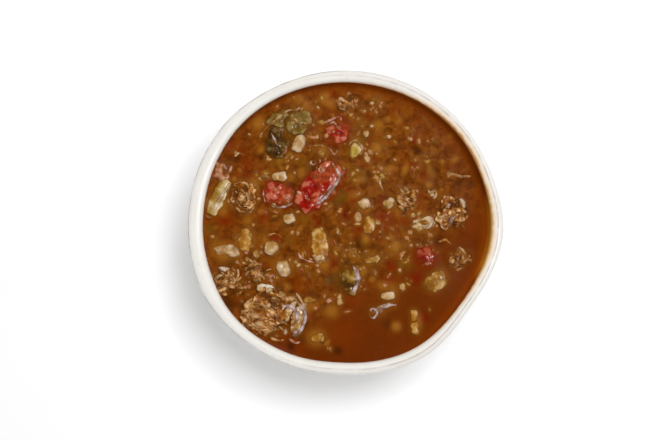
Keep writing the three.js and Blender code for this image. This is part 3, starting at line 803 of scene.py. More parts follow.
# %% Finishes of the pieces
FINISHES = {
    "beef": piece_finish(
        "cooked_beef", (0.255, 0.072, 0.005), (0.425, 0.144, 0.015), (0.069, 0.016, 0.001),
        (0.900, 0.580, 0.245), 260.0, (0.04, 0.8), 0.20, painted_light_share=0.9, grain=0.04),
    "red_pepper": piece_finish(
        "red_pepper_skin", (0.300, 0.006, 0.002), (0.385, 0.060, 0.015), (0.114, 0.004, 0.002),
        (0.760, 0.260, 0.140), 210.0, (0.02, 0.86), 0.13),
    "green_pepper": piece_finish(
        "green_pepper_skin", (0.078, 0.031, 0.003), (0.266, 0.132, 0.009), (0.043, 0.016, 0.002),
        (0.411, 0.263, 0.061), 200.0, (0.05, 0.86), 0.16, painted_light_share=0.7),
    "green_dark": piece_finish(
        "dark_green_skin", (0.046, 0.020, 0.002), (0.105, 0.052, 0.006), (0.026, 0.011, 0.001),
        (0.26, 0.15, 0.045), 200.0, (0.05, 0.7), 0.14, painted_light_share=0.6),
    "olive_slab": piece_finish(
        "olive_slab_skin", (0.180, 0.095, 0.010), (0.270, 0.165, 0.036), (0.085, 0.042, 0.004),
        (0.440, 0.310, 0.110), 200.0, (0.05, 0.8), 0.20),
    "deep_red": piece_finish(
        "deep_red_skin", (0.230, 0.006, 0.002), (0.300, 0.026, 0.005), (0.120, 0.004, 0.001),
        (0.500, 0.150, 0.070), 230.0, (0.10, 0.90), 0.18),
    "browned_beef": piece_finish(
        "browned_beef", (0.205, 0.056, 0.003), (0.330, 0.105, 0.008), (0.080, 0.019, 0.001),
        (0.600, 0.320, 0.085), 260.0, (0.10, 0.86), 0.22, painted_light_share=0.75, grain=0.04),
    "sunk_yellow": piece_finish(
        "sunk_yellow_flesh", (0.310, 0.135, 0.010), (0.450, 0.240, 0.055), (0.200, 0.072, 0.006),
        (0.720, 0.500, 0.200), 230.0, (0.12, 0.90), 0.18, soak=0.4),
    "thin_membrane": piece_finish(
        "thin_membrane", (0.240, 0.105, 0.030), (0.330, 0.170, 0.080), (0.120, 0.042, 0.006),
        (0.560, 0.400, 0.340), 260.0, (0.08, 0.86), 0.15, painted_light_share=0.6),
    "orange_edge": piece_finish(
        "orange_brown_skin", (0.300, 0.070, 0.006), (0.420, 0.170, 0.055), (0.110, 0.024, 0.002),
        (0.680, 0.420, 0.270), 240.0, (0.04, 0.7), 0.18, painted_light_share=0.7),
    "bright_onion": piece_finish(
        "bright_onion", (0.600, 0.440, 0.230), (0.800, 0.700, 0.530), (0.420, 0.240, 0.080),
        (0.900, 0.840, 0.730), 230.0, (0.02, 0.75), 0.15, painted_light_share=0.4, soak=0.4),
    "yellow_pepper": piece_finish(
        "yellow_pepper_flesh", (0.421, 0.178, 0.013), (0.506, 0.249, 0.045), (0.272, 0.092, 0.006),
        (0.760, 0.560, 0.230), 230.0, (0.03, 0.86), 0.15, soak=0.4),
    "celery": piece_finish(
        "celery_flesh", (0.440, 0.280, 0.036), (0.630, 0.440, 0.170), (0.265, 0.127, 0.013),
        (0.780, 0.630, 0.390), 240.0, (0.03, 0.86), 0.15, soak=0.4),
    "onion": piece_finish(
        "soft_onion", (0.468, 0.266, 0.072), (0.594, 0.410, 0.221), (0.340, 0.161, 0.042),
        (0.768, 0.625, 0.421), 230.0, (0.02, 0.62), 0.15, soak=0.45),
}
OWN_FINISHES = {
    "green_pepper_dark": "green_dark", "green_pepper_slab": "olive_slab",
    "green_pepper_olive": "olive_slab", "red_pepper_right": "deep_red",
    "beef_left_edge": "orange_edge", "onion_strip": "bright_onion", "beef_top": "browned_beef",
    "beef_tan": "browned_beef", "beef_right_inner": "browned_beef", "beef_right_low": "browned_beef",
    "onion_membrane": "thin_membrane", "yellow_pepper_right": "sunk_yellow",
    "yellow_pepper_sunk": "sunk_yellow", "celery_centre": "yellow_pepper",
}
HEADINGS = {
    "red_pepper_large": 47, "red_pepper_left": 315, "celery_left": 330, "yellow_pepper_stick": 285,
    "onion_tall": 340, "onion_cube": 270, "onion_gold": 300, "celery_centre": 280, "kernel_low": 20,
    "yellow_pepper_right": 40, "onion_strip": 340,
}
print(len(FINISHES), "finishes")

# %% Shape and finish each piece
USUAL_HEADING = 20
slot_of = {part["node"]: part["material_slot"] for part in frame["record"]["subparts"]}
fine_pieces = {}
for node, stuff in slot_of.items():
    if stuff in SHAPES:
        piece = fine_piece(node, *SHAPES[stuff])
        points = point_array(piece)
        store(piece, "bare", bare_share(points))
        store(piece, "along", along_share(points, HEADINGS.get(node, USUAL_HEADING)))
        finish = FINISHES[OWN_FINISHES.get(node, stuff)]
        fine_pieces[node] = settle(piece, finish, [node])
print(len(fine_pieces), "pieces shaped")

# %% [markdown]
# ## Small bits
# Bits too small for solids of their own lie all over the broth: dice of onion, crumbs of beef, flecks of
# pepper. One lump is modelled, and each bit is a copy of it, turned, stretched and set partly into the
# broth. The points of the joined bits then move by the same kind of unevenness as those of the pieces, so
# no two bits are alike.

# %% Bits large enough to place one by one: place, length and width in millimetres, turn in degrees
BITS = {
    "tan": [
        (-38.7, 40.3, 2.0, 1.6, 47), (-50.7, 32.8, 2.4, 2.0, 94), (-13.0, 39.8, 2.6, 2.0, 235),
        (39.8, 38.2, 2.6, 2.2, 204), (33.4, 37.3, 3.0, 1.6, 251), (15.9, 25.5, 3.8, 2.4, 298),
        (47.3, 22.5, 2.4, 2.0, 345), (21.2, -2.4, 2.2, 1.8, 126), (-49.4, -18.0, 2.8, 2.2, 314),
        (-12.6, -21.4, 2.6, 2.2, 142), (13.2, -22.6, 4.2, 3.0, 283), (25.3, -14.4, 2.4, 2.2, 72),
        (26.2, -13.4, 2.2, 1.8, 10), (25.2, -16.3, 1.8, 1.4, 60), (20.4, -11.0, 2.6, 1.3, 5),
        (-50.2, -5.8, 2.8, 2.2, 80), (-61.0, -6.2, 1.8, 2.4, 0), (-57.0, -29.2, 3.2, 2.6, 15),
        (-31.3, 53.5, 2.2, 1.8, 20), (-47.4, -35.8, 2.6, 1.8, 90), (53.2, -14.6, 3.2, 2.2, 30),
        (4.6, 43.2, 2.4, 2.2, 0), (6.0, 41.2, 1.8, 1.6, 40), (-42.0, -38.0, 3.4, 2.0, 330),
        (-8.0, -57.0, 2.0, 1.6, 30), (0.8, -40.4, 3.4, 1.2, 5), (22.4, 28.8, 1.8, 1.6, 0),
    ],
    "pale": [
        (-43.9, 40.7, 2.2, 1.8, 0), (-10.9, 31.9, 4.0, 3.6, 282), (9.3, 41.1, 3.6, 2.4, 70),
        (6.1, 48.0, 2.2, 1.8, 57), (9.8, 29.4, 3.8, 3.2, 104), (19.8, 39.6, 2.8, 2.0, 151),
        (29.6, -4.1, 2.8, 2.4, 60), (-40.7, 22.5, 2.4, 2.0, 220), (-2.4, -36.0, 4.2, 3.2, 236),
        (24.6, -21.6, 2.2, 2.0, 25), (-40.6, -14.0, 4.4, 3.4, 260), (25.9, -29.0, 4.4, 3.4, 307),
        (-28.9, -32.7, 3.8, 3.0, 330), (-51.4, -23.1, 2.0, 1.7, 0), (-48.2, -28.0, 1.6, 2.2, 0),
        (-22.6, 47.3, 1.8, 1.4, 20), (-18.3, 45.5, 1.8, 1.4, 0), (-16.4, 48.2, 1.6, 1.2, 30),
        (-2.6, -33.5, 3.2, 2.6, 30), (-39.0, 20.4, 2.0, 1.8, 0), (-37.2, 21.4, 2.6, 1.8, 15),
        (-21.8, 5.2, 1.8, 1.4, 0), (5.4, 24.2, 1.6, 1.5, 0), (31.0, 3.6, 2.6, 2.0, 20),
    ],
    "white": [
        (12.3, 44.6, 2.8, 1.4, 35), (39.8, 13.0, 3.0, 2.0, 298), (32.2, 0.7, 3.0, 2.6, 10),
        (37.6, -1.8, 2.6, 2.2, 0), (-11.5, -15.9, 4.2, 3.6, 0), (-27.6, -49.4, 2.4, 4.0, 10),
        (53.3, 9.8, 1.8, 3.4, 15), (-34.6, -30.6, 3.8, 2.4, 345),
    ],
    "pink": [
        (-0.6, -0.4, 2.4, 2.0, 173), (-37.0, 5.4, 2.2, 1.8, 267), (-34.0, -26.2, 2.4, 2.0, 1),
        (-4.9, -8.7, 1.6, 3.2, 20), (-7.5, -35.5, 2.8, 2.4, 189), (19.8, -23.8, 1.8, 3.0, 330),
        (18.0, -28.0, 2.4, 2.2, 17), (36.8, -18.6, 3.2, 2.4, 5), (-32.2, 15.4, 2.2, 1.9, 0),
        (-3.4, 43.6, 2.4, 1.8, 0), (-5.8, 42.0, 1.8, 1.6, 40), (-14.0, -38.6, 2.6, 2.0, 40),
        (-59.1, -25.8, 2.2, 1.7, 30), (-10.9, 24.4, 2.2, 2.2, 0), (-13.6, 21.6, 2.6, 2.2, 30),
        (-28.4, -34.4, 2.6, 1.5, 10), (40.6, 2.6, 3.2, 1.1, 60), (45.6, 11.0, 2.4, 1.2, 45),
        (9.6, 7.2, 1.4, 1.1, 0), (-17.0, 11.0, 2.0, 1.6, 0), (37.6, 37.4, 1.5, 1.3, 0),
    ],
    "yellow": [
        (-23.2, 57.3, 2.2, 1.8, 141), (-10.7, 57.4, 2.2, 1.8, 188), (-6.8, -57.6, 2.6, 2.0, 119),
        (-15.6, -35.2, 4.2, 3.4, 166), (-17.4, -35.0, 3.0, 2.6, 0), (35.8, 0.4, 4.0, 2.8, 0),
        (3.4, 22.6, 2.4, 2.0, 20), (-10.4, -53.0, 3.2, 2.2, 70), (-43.4, -5.0, 2.4, 3.4, 10),
    ],
}
print("placed bits:", {kind: len(bits) for kind, bits in BITS.items()})

# %% [markdown]
# The finest crumbs are too many to place by hand, so a random draw with a fixed seed strews them. Evenly
# spread crumbs would look like a pattern. Real ones gather, so most lie near one of a few dozen hearts, and
# a chance for each place keeps them thick where the soup is busy and thin in the clear broth.

# %% How likely a crumb is at a place
BUSY_PLACES = [(4, 34, 22), (16, -20, 18), (-36, -30, 20), (30, 8, 18), (-30, 20, 12)]
CHANCE_IN_CLEAR = 0.14
CHANCE_BUSY = 1.0
CHANCE_ELSEWHERE = 0.5
CLEAR_SLOPE = 0.62
CLEAR_START = 34
CLEAR_RIGHT = 54


def clear_of(x, y):
    return CLEAR_SLOPE * x - y > CLEAR_START or x > CLEAR_RIGHT


def busy_at(x, y):
    return any(math.hypot(x - a, y - b) < reach for a, b, reach in BUSY_PLACES)


def chance_at(x, y):
    if clear_of(x, y):
        return CHANCE_IN_CLEAR
    return CHANCE_BUSY if busy_at(x, y) else CHANCE_ELSEWHERE


print("chance in the middle and at the lower right:", chance_at(0, 0), chance_at(40, -40))

# %% Crumbs strewn at random
CRUMB_COUNT = 380
CRUMB_REACH = 61
CRUMB_KINDS = {"tan": 10, "pale": 2, "pink": 1, "yellow": 5}
LEAST_CRUMB = 0.7
CRUMB_RANGE = 1.7
HEART_COUNT = 44
HEART_REACH = 56
HEART_SPREAD = 2.0
CLUSTERED_SHARE = 0.62


def random_place(draw, reach):
    radius, turn = reach * math.sqrt(draw.random()), draw.uniform(0, 2 * math.pi)
    return radius * math.cos(turn), radius * math.sin(turn)


def pick(draw, weights):
    return draw.choices(list(weights), list(weights.values()))[0]


def strewn_crumbs():
    draw = random.Random(17)
    crumbs = {kind: [] for kind in BITS}
    hearts = [random_place(draw, HEART_REACH) for _ in range(HEART_COUNT)]
    while sum(len(c) for c in crumbs.values()) < CRUMB_COUNT:
        x, y = random_place(draw, CRUMB_REACH)
        if draw.random() < CLUSTERED_SHARE:
            x, y = (c + draw.gauss(0, HEART_SPREAD) for c in draw.choice(hearts))
        if draw.random() > chance_at(x, y):
            continue
        kind = pick(draw, CRUMB_KINDS)
        size = LEAST_CRUMB + CRUMB_RANGE * draw.random() ** 2
        crumbs[kind].append((x, y, size * draw.uniform(1, 1.8), size, draw.uniform(0, 180)))
    return crumbs


crumbs = strewn_crumbs()
print("strewn crumbs:", {kind: len(places) for kind, places in crumbs.items()})

# %% Crumbs of beef round each crumble: place, reach and count, but none on the bright onion strip
BEEF_PLACES = [
    (-36.0, -39.4, 12.0, 46), (-46.6, 11.8, 6.6, 20), (-54.6, -26.2, 5.8, 22),
    (-41.4, -22.6, 5.4, 16), (28.0, 10.6, 5.2, 10), (47.6, 4.6, 7.6, 22), (52.4, -15.8, 4.8, 8),
    (-0.7, 54.4, 3.6, 8),
]
STRIP_PLACE = (-36, -30.2)
STRIP_HALF = (7, 3.6)


def on_strip(x, y):
    return math.hypot((x - STRIP_PLACE[0]) / STRIP_HALF[0], (y - STRIP_PLACE[1]) / STRIP_HALF[1]) < 1


def beef_crumbs():
    draw = random.Random(23)
    crumbs = []
    for x, y, reach, count in BEEF_PLACES:
        for _ in range(count):
            away = reach * draw.uniform(0.2, 1.1)
            turn = draw.uniform(0, 2 * math.pi)
            size = draw.uniform(0.8, 1.9)
            place = (x + away * math.cos(turn), y + away * math.sin(turn))
            if not on_strip(*place):
                crumbs.append((*place, size * draw.uniform(1, 2.2), size, draw.uniform(0, 180)))
    return crumbs


print("crumbs of beef:", len(beef_crumbs()))

# %% One lump to copy
LUMP_FLATNESS = 0.86
LUMP_DENT = 0.6
LUMP_DENT_DEPTH = 0.35


def model_lump(name, divisions):
    deselect_all()
    bpy.ops.mesh.primitive_ico_sphere_add(subdivisions=divisions, radius=0.5, location=(0, 0, 0))
    piece = bpy.context.object
    piece.name = name
    bpy.ops.object.mode_set(mode="EDIT")
    bpy.ops.mesh.select_all(action="SELECT")
    bpy.ops.transform.resize(value=(1, 1, LUMP_FLATNESS))
    bpy.ops.object.mode_set(mode="OBJECT")
    add_unevenness(piece, name + "_shape", LUMP_DENT, LUMP_DENT_DEPTH, depth=1)
    apply_modifiers(piece)
    points = point_array(piece)
    faces = [tuple(p.vertices) for p in piece.data.polygons]
    bpy.data.objects.remove(piece)
    return points, faces


large_lump = model_lump("large_lump", 3)
small_lump = model_lump("small_lump", 2)
print("lumps of", len(large_lump[1]), "and", len(small_lump[1]), "faces")

# %% What a bit rests on
ABOVE_ALL = 0.1


def tree_of(pieces):
    vertices, faces = [], []
    for piece in pieces:
        start = len(vertices)
        vertices.extend(v.co.copy() for v in piece.data.vertices)
        faces.extend([start + i for i in p.vertices] for p in piece.data.polygons)
    return BVHTree.FromPolygons(vertices, faces)


def from_rim_centre(x, y, z):
    return x * MM + RIM_CENTRE[0], y * MM + RIM_CENTRE[1], z


def surface_at(tree, x, y):
    hit = tree.ray_cast(Vector(from_rim_centre(x, y, ABOVE_ALL)), Vector((0, 0, -1)))[0]
    open_broth = float(level_at(x, y))
    return max(open_broth, hit.z) if hit is not None else open_broth


pieces_tree = tree_of(fine_pieces.values())
print("pieces joined for measuring")

# %% Join the bits of a kind
DICE_HEIGHT = 0.95
SUNK_SHARE = 0.10
BARE_FROM = 0.4
BARE_RAMP = 0.32


def join_bits(name, groups):
    vertices, faces, bare, along = [], [], [], []
    start = 0
    draw = random.Random(len(name))
    for (points, lump_faces), places in groups:
        for x, y, length, width, turn in places:
            height = DICE_HEIGHT * width
            spin = Euler((draw.uniform(0, 6), draw.uniform(0, 6), draw.uniform(0, 6))).to_matrix()
            shape = points @ np.array(spin).T * np.array([length, width, height]) * MM
            heading = np.array(Matrix.Rotation(math.radians(turn), 3, "Z"))
            rest = surface_at(pieces_tree, x, y) - SUNK_SHARE * height * MM
            placed = shape @ heading.T + np.array(from_rim_centre(x, y, rest))
            vertices.append(placed)
            faces.extend(tuple(start + i for i in face) for face in lump_faces)
            over = (placed[:, 2] - rest) / (BARE_RAMP * height * MM)
            bare.append(np.clip(over - BARE_FROM, 0, min(1, width / 2)))
            along.append(np.full(len(placed), draw.random()))
            start += len(placed)
    mesh = bpy.data.meshes.new(name)
    mesh.from_pydata(np.concatenate(vertices).tolist(), [], faces)
    piece = add_object(name, mesh)
    store(piece, "bare", np.concatenate(bare))
    store(piece, "along", np.concatenate(along))
    return piece


print("bits stand", DICE_HEIGHT, "as tall as wide")

# %% Finishes of the bits
BIT_FINISHES = {
    "tan": piece_finish(
        "tan_crumb", (0.258, 0.087, 0.016), (0.442, 0.190, 0.051), (0.152, 0.042, 0.005),
        (0.600, 0.324, 0.128), 450.0, (0.06, 0.86), 0.20, painted_light_share=0.6, soak=0.2),
    "pale": piece_finish(
        "pale_dice", (0.378, 0.190, 0.033), (0.522, 0.319, 0.114), (0.272, 0.112, 0.016),
        (0.665, 0.482, 0.255), 400.0, (0.04, 0.86), 0.16, soak=0.4),
    "white": piece_finish(
        "white_dice", (0.522, 0.322, 0.139), (0.648, 0.465, 0.290), (0.374, 0.186, 0.059),
        (0.787, 0.663, 0.503), 400.0, (0.02, 0.86), 0.15, soak=0.4),
    "pink": piece_finish(
        "pink_fleck", (0.342, 0.078, 0.022), (0.504, 0.211, 0.091), (0.216, 0.034, 0.007),
        (0.634, 0.340, 0.195), 450.0, (0.05, 0.86), 0.16, soak=0.3),
    "yellow": piece_finish(
        "yellow_fleck", (0.334, 0.136, 0.009), (0.440, 0.218, 0.035), (0.221, 0.072, 0.005),
        (0.570, 0.352, 0.098), 450.0, (0.05, 0.86), 0.17, soak=0.3),
}
print(len(BIT_FINISHES), "bit finishes")

# %% Make the bits
OVER_PIECE = 0.25 * MM
BIT_ROUGHNESS = 0.3
bit_pieces = []


def in_open_broth(place):
    x, y = place[:2]
    return surface_at(pieces_tree, x, y) < float(level_at(x, y)) + OVER_PIECE


for kind, places in BITS.items():
    small = [place for place in crumbs[kind] if in_open_broth(place)]
    small += beef_crumbs() if kind == "tan" else []
    piece = join_bits(kind + "_bits", [(large_lump, places), (small_lump, small)])
    roughen(piece, crumb_stuff, BIT_ROUGHNESS)
    bit_pieces.append(settle(piece, BIT_FINISHES[kind]))

# %% [markdown]
# ## The broth
# The broth is one closed body up to its level. Its top is a fine grid, cut to the outline of the bowl's
# inside and reaching a little into the wall, so that no gap shows. The height of each point then comes
# from the slow swells of the solid, the way thick liquid climbs a little on the wall and on each piece,
# and the lumps that lie just under the surface. Those lumps also tint it, so their masks are stored
# as attributes for the finish to read.

# %% Lumps and tints just under the surface: place and radius in millimetres
NAMED_LUMPS = {
    "olive": [
        (-32.1, 28.7, 2.9), (-19.8, 27.8, 2.7), (13.0, -16.6, 5.0), (-3.8, -24.6, 4.6), (-28.0, 43.0, 7.0),
        (-62.0, -2.6, 3.0), (-18.6, 3.6, 3.4), (36.2, 1.0, 3.0), (4.8, 34.0, 4.0), (5.0, 22.8, 4.6),
        (17.0, 22.0, 3.6), (-9.0, 7.4, 2.4), (-26.0, -8.0, 2.4), (28.4, -19.0, 2.6), (-24.4, 50.6, 4.0),
    ],
    "ochre": [
        (-45.0, 0.9, 2.6), (38.9, 23.7, 3.0), (49.8, 29.1, 2.4), (6.6, 19.6, 2.8), (-16.0, -38.0, 3.6),
        (-21.4, 57.0, 3.0), (-9.6, 57.0, 3.4), (-40.0, 46.0, 3.0), (8.6, 8.0, 3.6), (-12.4, -8.6, 5.0),
        (-33.6, -11.6, 4.2), (-28.4, -20.0, 4.6), (32.4, -45.0, 4.4), (-13.6, -52.4, 4.4), (41.6, -26.0, 5.4),
        (-56.0, -13.0, 5.6), (-46.0, -8.0, 5.4), (-58.4, 9.4, 5.0), (24.0, 8.0, 3.2), (21.0, -31.0, 4.6),
        (4.6, 12.6, 2.4), (15.0, 44.6, 3.0), (14.4, 34.6, 2.6), (27.2, 24.6, 2.4), (48.4, 40.2, 2.0),
        (-6.4, -40.0, 3.4),
    ],
    "grey": [
        (19.3, 34.1, 2.4), (-6.6, 6.8, 2.4), (24.6, 16.4, 2.2), (14.0, -41.4, 4.0), (-28.0, -1.6, 3.0),
        (35.0, 29.6, 3.4), (8.4, 52.4, 4.0), (28.2, -8.8, 4.0), (-8.2, -26.6, 3.0),
    ],
    "red": [
        (-13.4, 15.0, 7.4), (-30.0, 12.4, 6.4), (-3.6, 40.4, 5.6), (-1.2, 48.4, 3.6), (36.6, -15.8, 5.4),
        (3.0, 2.4, 4.4), (-37.6, 3.6, 3.6), (4.4, 11.0, 2.6), (-44.6, 27.0, 4.0), (32.4, -25.0, 3.0),
        (16.6, 9.6, 3.0), (20.0, -25.6, 3.0), (35.6, -43.4, 2.4), (15.8, 1.0, 5.0), (-58.6, 24.6, 3.4),
        (-19.0, -40.6, 3.0), (-1.6, 5.4, 3.4), (10.6, 50.6, 2.6),
    ],
    "rust": [
        (-55.0, 2.0, 7.0), (-43.0, -12.6, 4.0), (-48.0, 21.0, 5.4), (-53.0, -23.4, 6.0), (-22.0, -28.0, 6.0),
        (-36.4, -20.0, 4.0), (8.6, -4.4, 6.0), (1.8, -34.0, 6.4), (-23.0, -54.6, 7.0), (49.6, 8.4, 6.0),
        (-12.6, -12.6, 6.0), (24.6, 1.2, 6.0), (-6.0, 52.0, 6.0), (-50.4, 34.4, 6.0), (-26.8, 36.4, 3.4),
        (-30.0, -36.0, 5.0), (-17.0, 42.0, 4.0), (57.4, 0.0, 4.0), (33.6, 12.0, 5.0), (-1.0, -51.0, 8.0),
        (20.0, 25.5, 3.4),
    ],
    "dark": [
        (-49.4, -30.6, 4.6), (-46.4, -27.0, 2.6), (-41.3, -45.4, 3.4), (-36.7, -34.2, 2.8), (32.8, 32.0, 2.0),
        (24.3, -12.0, 1.6), (-53.0, -17.6, 3.6), (3.4, -22.0, 3.0), (-38.6, 30.6, 2.4), (-54.0, -36.4, 4.6),
        (-20.2, -44.0, 1.8), (-46.0, -38.4, 3.0), (-33.0, -30.4, 2.0), (-25.0, -56.0, 3.0), (-49.0, 4.0, 2.6),
        (5.0, -10.8, 3.6), (58.0, 18.6, 4.0), (-33.4, 37.0, 4.0),
    ],
}
LUMP_COUNT = 280
LUMP_REACH = 60
LUMP_KINDS = {"ochre": 4, "olive": 2, "grey": 2, "red": 1.4, "rust": 3, "dark": 3}


def strewn_lumps():
    draw = random.Random(41)
    lumps = {kind: list(places) for kind, places in NAMED_LUMPS.items()}
    for _ in range(LUMP_COUNT):
        x, y = random_place(draw, LUMP_REACH)
        kind = pick(draw, LUMP_KINDS)
        if not clear_of(x, y) or draw.random() > 0.9:
            lumps[kind].append((x, y, draw.uniform(1.0, 3.2)))
    return lumps


lumps = strewn_lumps()
print("lumps under the surface:", {kind: len(places) for kind, places in lumps.items()})

# %% The top of the broth
GRID_HALF = 69.5 * MM
GRID_STEP = 0.45 * MM
WALL_REACH = 1.2 * MM
SKIRT = 4 * MM


def broth_grid():
    count = int(2 * GRID_HALF / GRID_STEP)
    deselect_all()
    bpy.ops.mesh.primitive_grid_add(
        x_subdivisions=count, y_subdivisions=count, size=2 * GRID_HALF, location=(0, 0, BROTH_LEVEL))
    piece = bpy.context.object
    piece.name = "thick_broth"
    bpy.ops.object.transform_apply(location=True)
    return piece


def inner_edge_distance(points):
    radius, angle = polar(points)
    return WALL_INNER_RADIUS + swell_at(angle, 1.0) - radius


def cut_to_bowl(piece):
    outside = inner_edge_distance(point_array(piece)) < -WALL_REACH
    piece.data.polygons.foreach_set("select", np.zeros(len(piece.data.polygons), dtype=bool))
    piece.data.edges.foreach_set("select", np.zeros(len(piece.data.edges), dtype=bool))
    piece.data.vertices.foreach_set("select", outside)
    activate(piece)
    bpy.ops.object.mode_set(mode="EDIT")
    bpy.ops.mesh.select_mode(type="VERT")
    bpy.ops.mesh.delete(type="VERT")
    bpy.ops.mesh.select_all(action="SELECT")
    bpy.ops.mesh.region_to_loop()
    bpy.ops.mesh.extrude_edges_move(TRANSFORM_OT_translate={"value": (0, 0, -SKIRT)})
    bpy.ops.mesh.edge_face_add()
    bpy.ops.object.mode_set(mode="OBJECT")


broth = broth_grid()
cut_to_bowl(broth)
print("broth has", len(broth.data.vertices), "points")

# %% Masks of the lumps, and how near the wall and the pieces each point is
LUMP_RISE = {"olive": 0.12, "ochre": 0.16, "grey": 0.10, "red": 0.04, "rust": 0.0, "dark": -0.18}
CLIMB_ON_PIECES = 0.18
CLIMB_ON_BITS = 0.10
CLIMB_WIDTH = 1.2
LIP_SHADE_WIDTH = 3.6
LIP_SHADE_EDGE = 0.8
LIP_SHADE_HEADING = 35
AMBER_WIDTH = 2.0
WALL_TINT_WIDTH = 5.0
HALO_WIDTH = 0.9
BIT_HALO_WIDTH = 0.6
CLEAR_EDGE = 6


def lump_masks(x, y):
    draw = random.Random(7)
    masks = {}
    for kind, places in lumps.items():
        mask = np.zeros_like(x)
        for lump_x, lump_y, radius in places:
            turn, squash = draw.uniform(0, math.pi), draw.uniform(0.55, 1.0)
            strength = draw.uniform(0.55, 1.0)
            across, along = x - lump_x, y - lump_y
            u = (across * math.cos(turn) + along * math.sin(turn)) / radius
            v = (along * math.cos(turn) - across * math.sin(turn)) / (radius * squash)
            mask = np.maximum(mask, strength * np.exp(-((u * u + v * v) ** 1.2)))
        masks[kind] = mask
    return masks


def distance_to(tree, points, reach=3.0):
    near = np.full(len(points), reach)
    for index, point in enumerate(points):
        found = tree.find_nearest(Vector(point), reach * MM)
        if found[0] is not None:
            near[index] = found[3] / MM
    return near


STUFF_GROUPS = {
    "pale": ["onion", "celery", "yellow_pepper"], "red": ["red_pepper"], "green": ["green_pepper"],
    "meat": ["beef"],
}
points = point_array(broth)
x, y = from_middle(points)
masks = lump_masks(x, y)
to_wall = np.maximum(inner_edge_distance(points), 0) / MM
print("masks for", len(points), "points")

# %% Raise the broth point by point
on_top = points[:, 2] > BROTH_LEVEL - 0.5 * SKIRT
open_level = points.copy()
open_level[:, 2] = level_at(x, y)
near_bit = distance_to(tree_of(bit_pieces), open_level)
near_stuff = {}
for group, stuffs in STUFF_GROUPS.items():
    members = [piece for node, piece in fine_pieces.items() if slot_of[node] in stuffs]
    near_stuff[group] = distance_to(tree_of(members), open_level)
near_piece = np.minimum.reduce(list(near_stuff.values()))
climb = MENISCUS_RISE * np.exp(-to_wall / MENISCUS_WIDTH)
hug = np.maximum(CLIMB_ON_PIECES * np.exp(-near_piece / CLIMB_WIDTH),
                 CLIMB_ON_BITS * np.exp(-near_bit / CLIMB_WIDTH))
swelling = sum(LUMP_RISE[kind] * mask for kind, mask in masks.items())
raised = open_level[:, 2] + (climb + hug + swelling) * MM
points[:, 2] = np.where(on_top, raised, points[:, 2])
move_points(broth, points)
for kind, mask in masks.items():
    store(broth, "lump_" + kind, mask)
store(broth, "near_wall", np.exp(-to_wall / WALL_TINT_WIDTH))
for group, near in near_stuff.items():
    store(broth, "halo_" + group, np.exp(-(near / HALO_WIDTH) ** 1.5))
store(broth, "halo_bits", np.exp(-(near_bit / BIT_HALO_WIDTH) ** 1.5))
# Painted light: along the upper right wall, where the lip casts its shadow on the broth, the broth is given a
# lighter red-brown so that the shadow shows less.
lip_shadow_side = np.clip(0.3 + facing(polar(points)[1], LIP_SHADE_HEADING), 0, 1)
store(broth, "painted_light_under_lip", lip_shadow_side / (1 + np.exp((to_wall - LIP_SHADE_WIDTH) / LIP_SHADE_EDGE)))
store(broth, "clear", 1 / (1 + np.exp(-(CLEAR_SLOPE * x - y - CLEAR_START) / CLEAR_EDGE)))
# Amber broth film where the broth meets the right wall, partly painted light: it is made bright so that it
# shows through the lip's shadow.
store(broth, "amber_edge_and_painted_light", amber_side(points) * np.exp(-(to_wall / AMBER_WIDTH) ** 4))
print("broth raised up to", round(float(points[:, 2].max() / MM), 2), "mm")

# %% Ripples of the thick broth: size and height in millimetres
RIPPLES = [("slow_ripple", 5.0, 0.22), ("gritty_broth", 1.4, 0.05)]
for name, size, height in RIPPLES:
    add_unevenness(broth, name, size * MM, height * MM)
apply_modifiers(broth)
print("broth rippled")

# %% [markdown]
# From a distance the broth is one brown. Close up it is a mix: patches of darker and lighter broth in three
# sizes, amber and rust where a lump lies under it, a warm halo round each piece, and clear brown at the
# lower right. Along the upper right wall, where the lip's shadow falls, a lighter red-brown is painted light,
# and the amber film at the wall is made brighter as painted light. Each of these is a layer, mixed over the
# last one by a share, because layers can be judged and changed one at a time.

# %% Broth finish
# The under-lip tint is painted light, a lighter red-brown in the lip's shadow. The amber tint at the right
# wall is amber broth film, made much brighter as painted light against the same shadow.
TINTS = [
    ("lump_rust", 0.75, (0.200, 0.030, 0.001)), ("lump_dark", 0.85, (0.048, 0.012, 0.001)),
    ("lump_red", 0.85, (0.185, 0.009, 0.001)), ("lump_olive", 0.65, (0.185, 0.084, 0.005)),
    ("lump_grey", 0.45, (0.170, 0.064, 0.012)), ("lump_ochre", 0.75, (0.390, 0.155, 0.015)),
    ("halo_bits", 0.36, (0.290, 0.105, 0.012)), ("halo_green", 0.45, (0.090, 0.042, 0.004)),
    ("halo_meat", 0.45, (0.210, 0.072, 0.008)), ("halo_pale", 0.32, (0.270, 0.104, 0.010)),
    ("halo_red", 0.60, (0.220, 0.014, 0.002)), ("painted_light_under_lip", 0.75, (0.320, 0.062, 0.002)),
    ("amber_edge_and_painted_light", 0.85, (0.800, 0.290, 0.018)),
]
CLEAR_BROTH = (0.140, 0.024, 0.001)
BROTH_AT_WALL = (0.170, 0.027, 0.001)
DARK_SPECK = (0.05, 0.016, 0.002)
PALE_SPECK = (0.42, 0.20, 0.04)
TINTED_SIDE = (0.95, -0.3, 0.0)


def broth_patches(tree, place, size, edge, detail, wisps, first, second):
    return place_group(tree, "patches", {
        "Vector": place, "Size": size, "Edge": edge, "Detail": detail, "Wisps": wisps,
        "First": first, "Second": second})["Colour"]


def wall_tint_share(tree, place):
    side = add_node(tree, "ShaderNodeVectorMath", {0: place, 1: TINTED_SIDE}, operation="DOT_PRODUCT")
    right = spread_out(tree, side.outputs["Value"], -0.02, 0.060)
    more = calculate(tree, "ADD", calculate(tree, "MULTIPLY", right, 0.7), 0.3)
    return calculate(tree, "MULTIPLY", attribute(tree, "near_wall"), more)


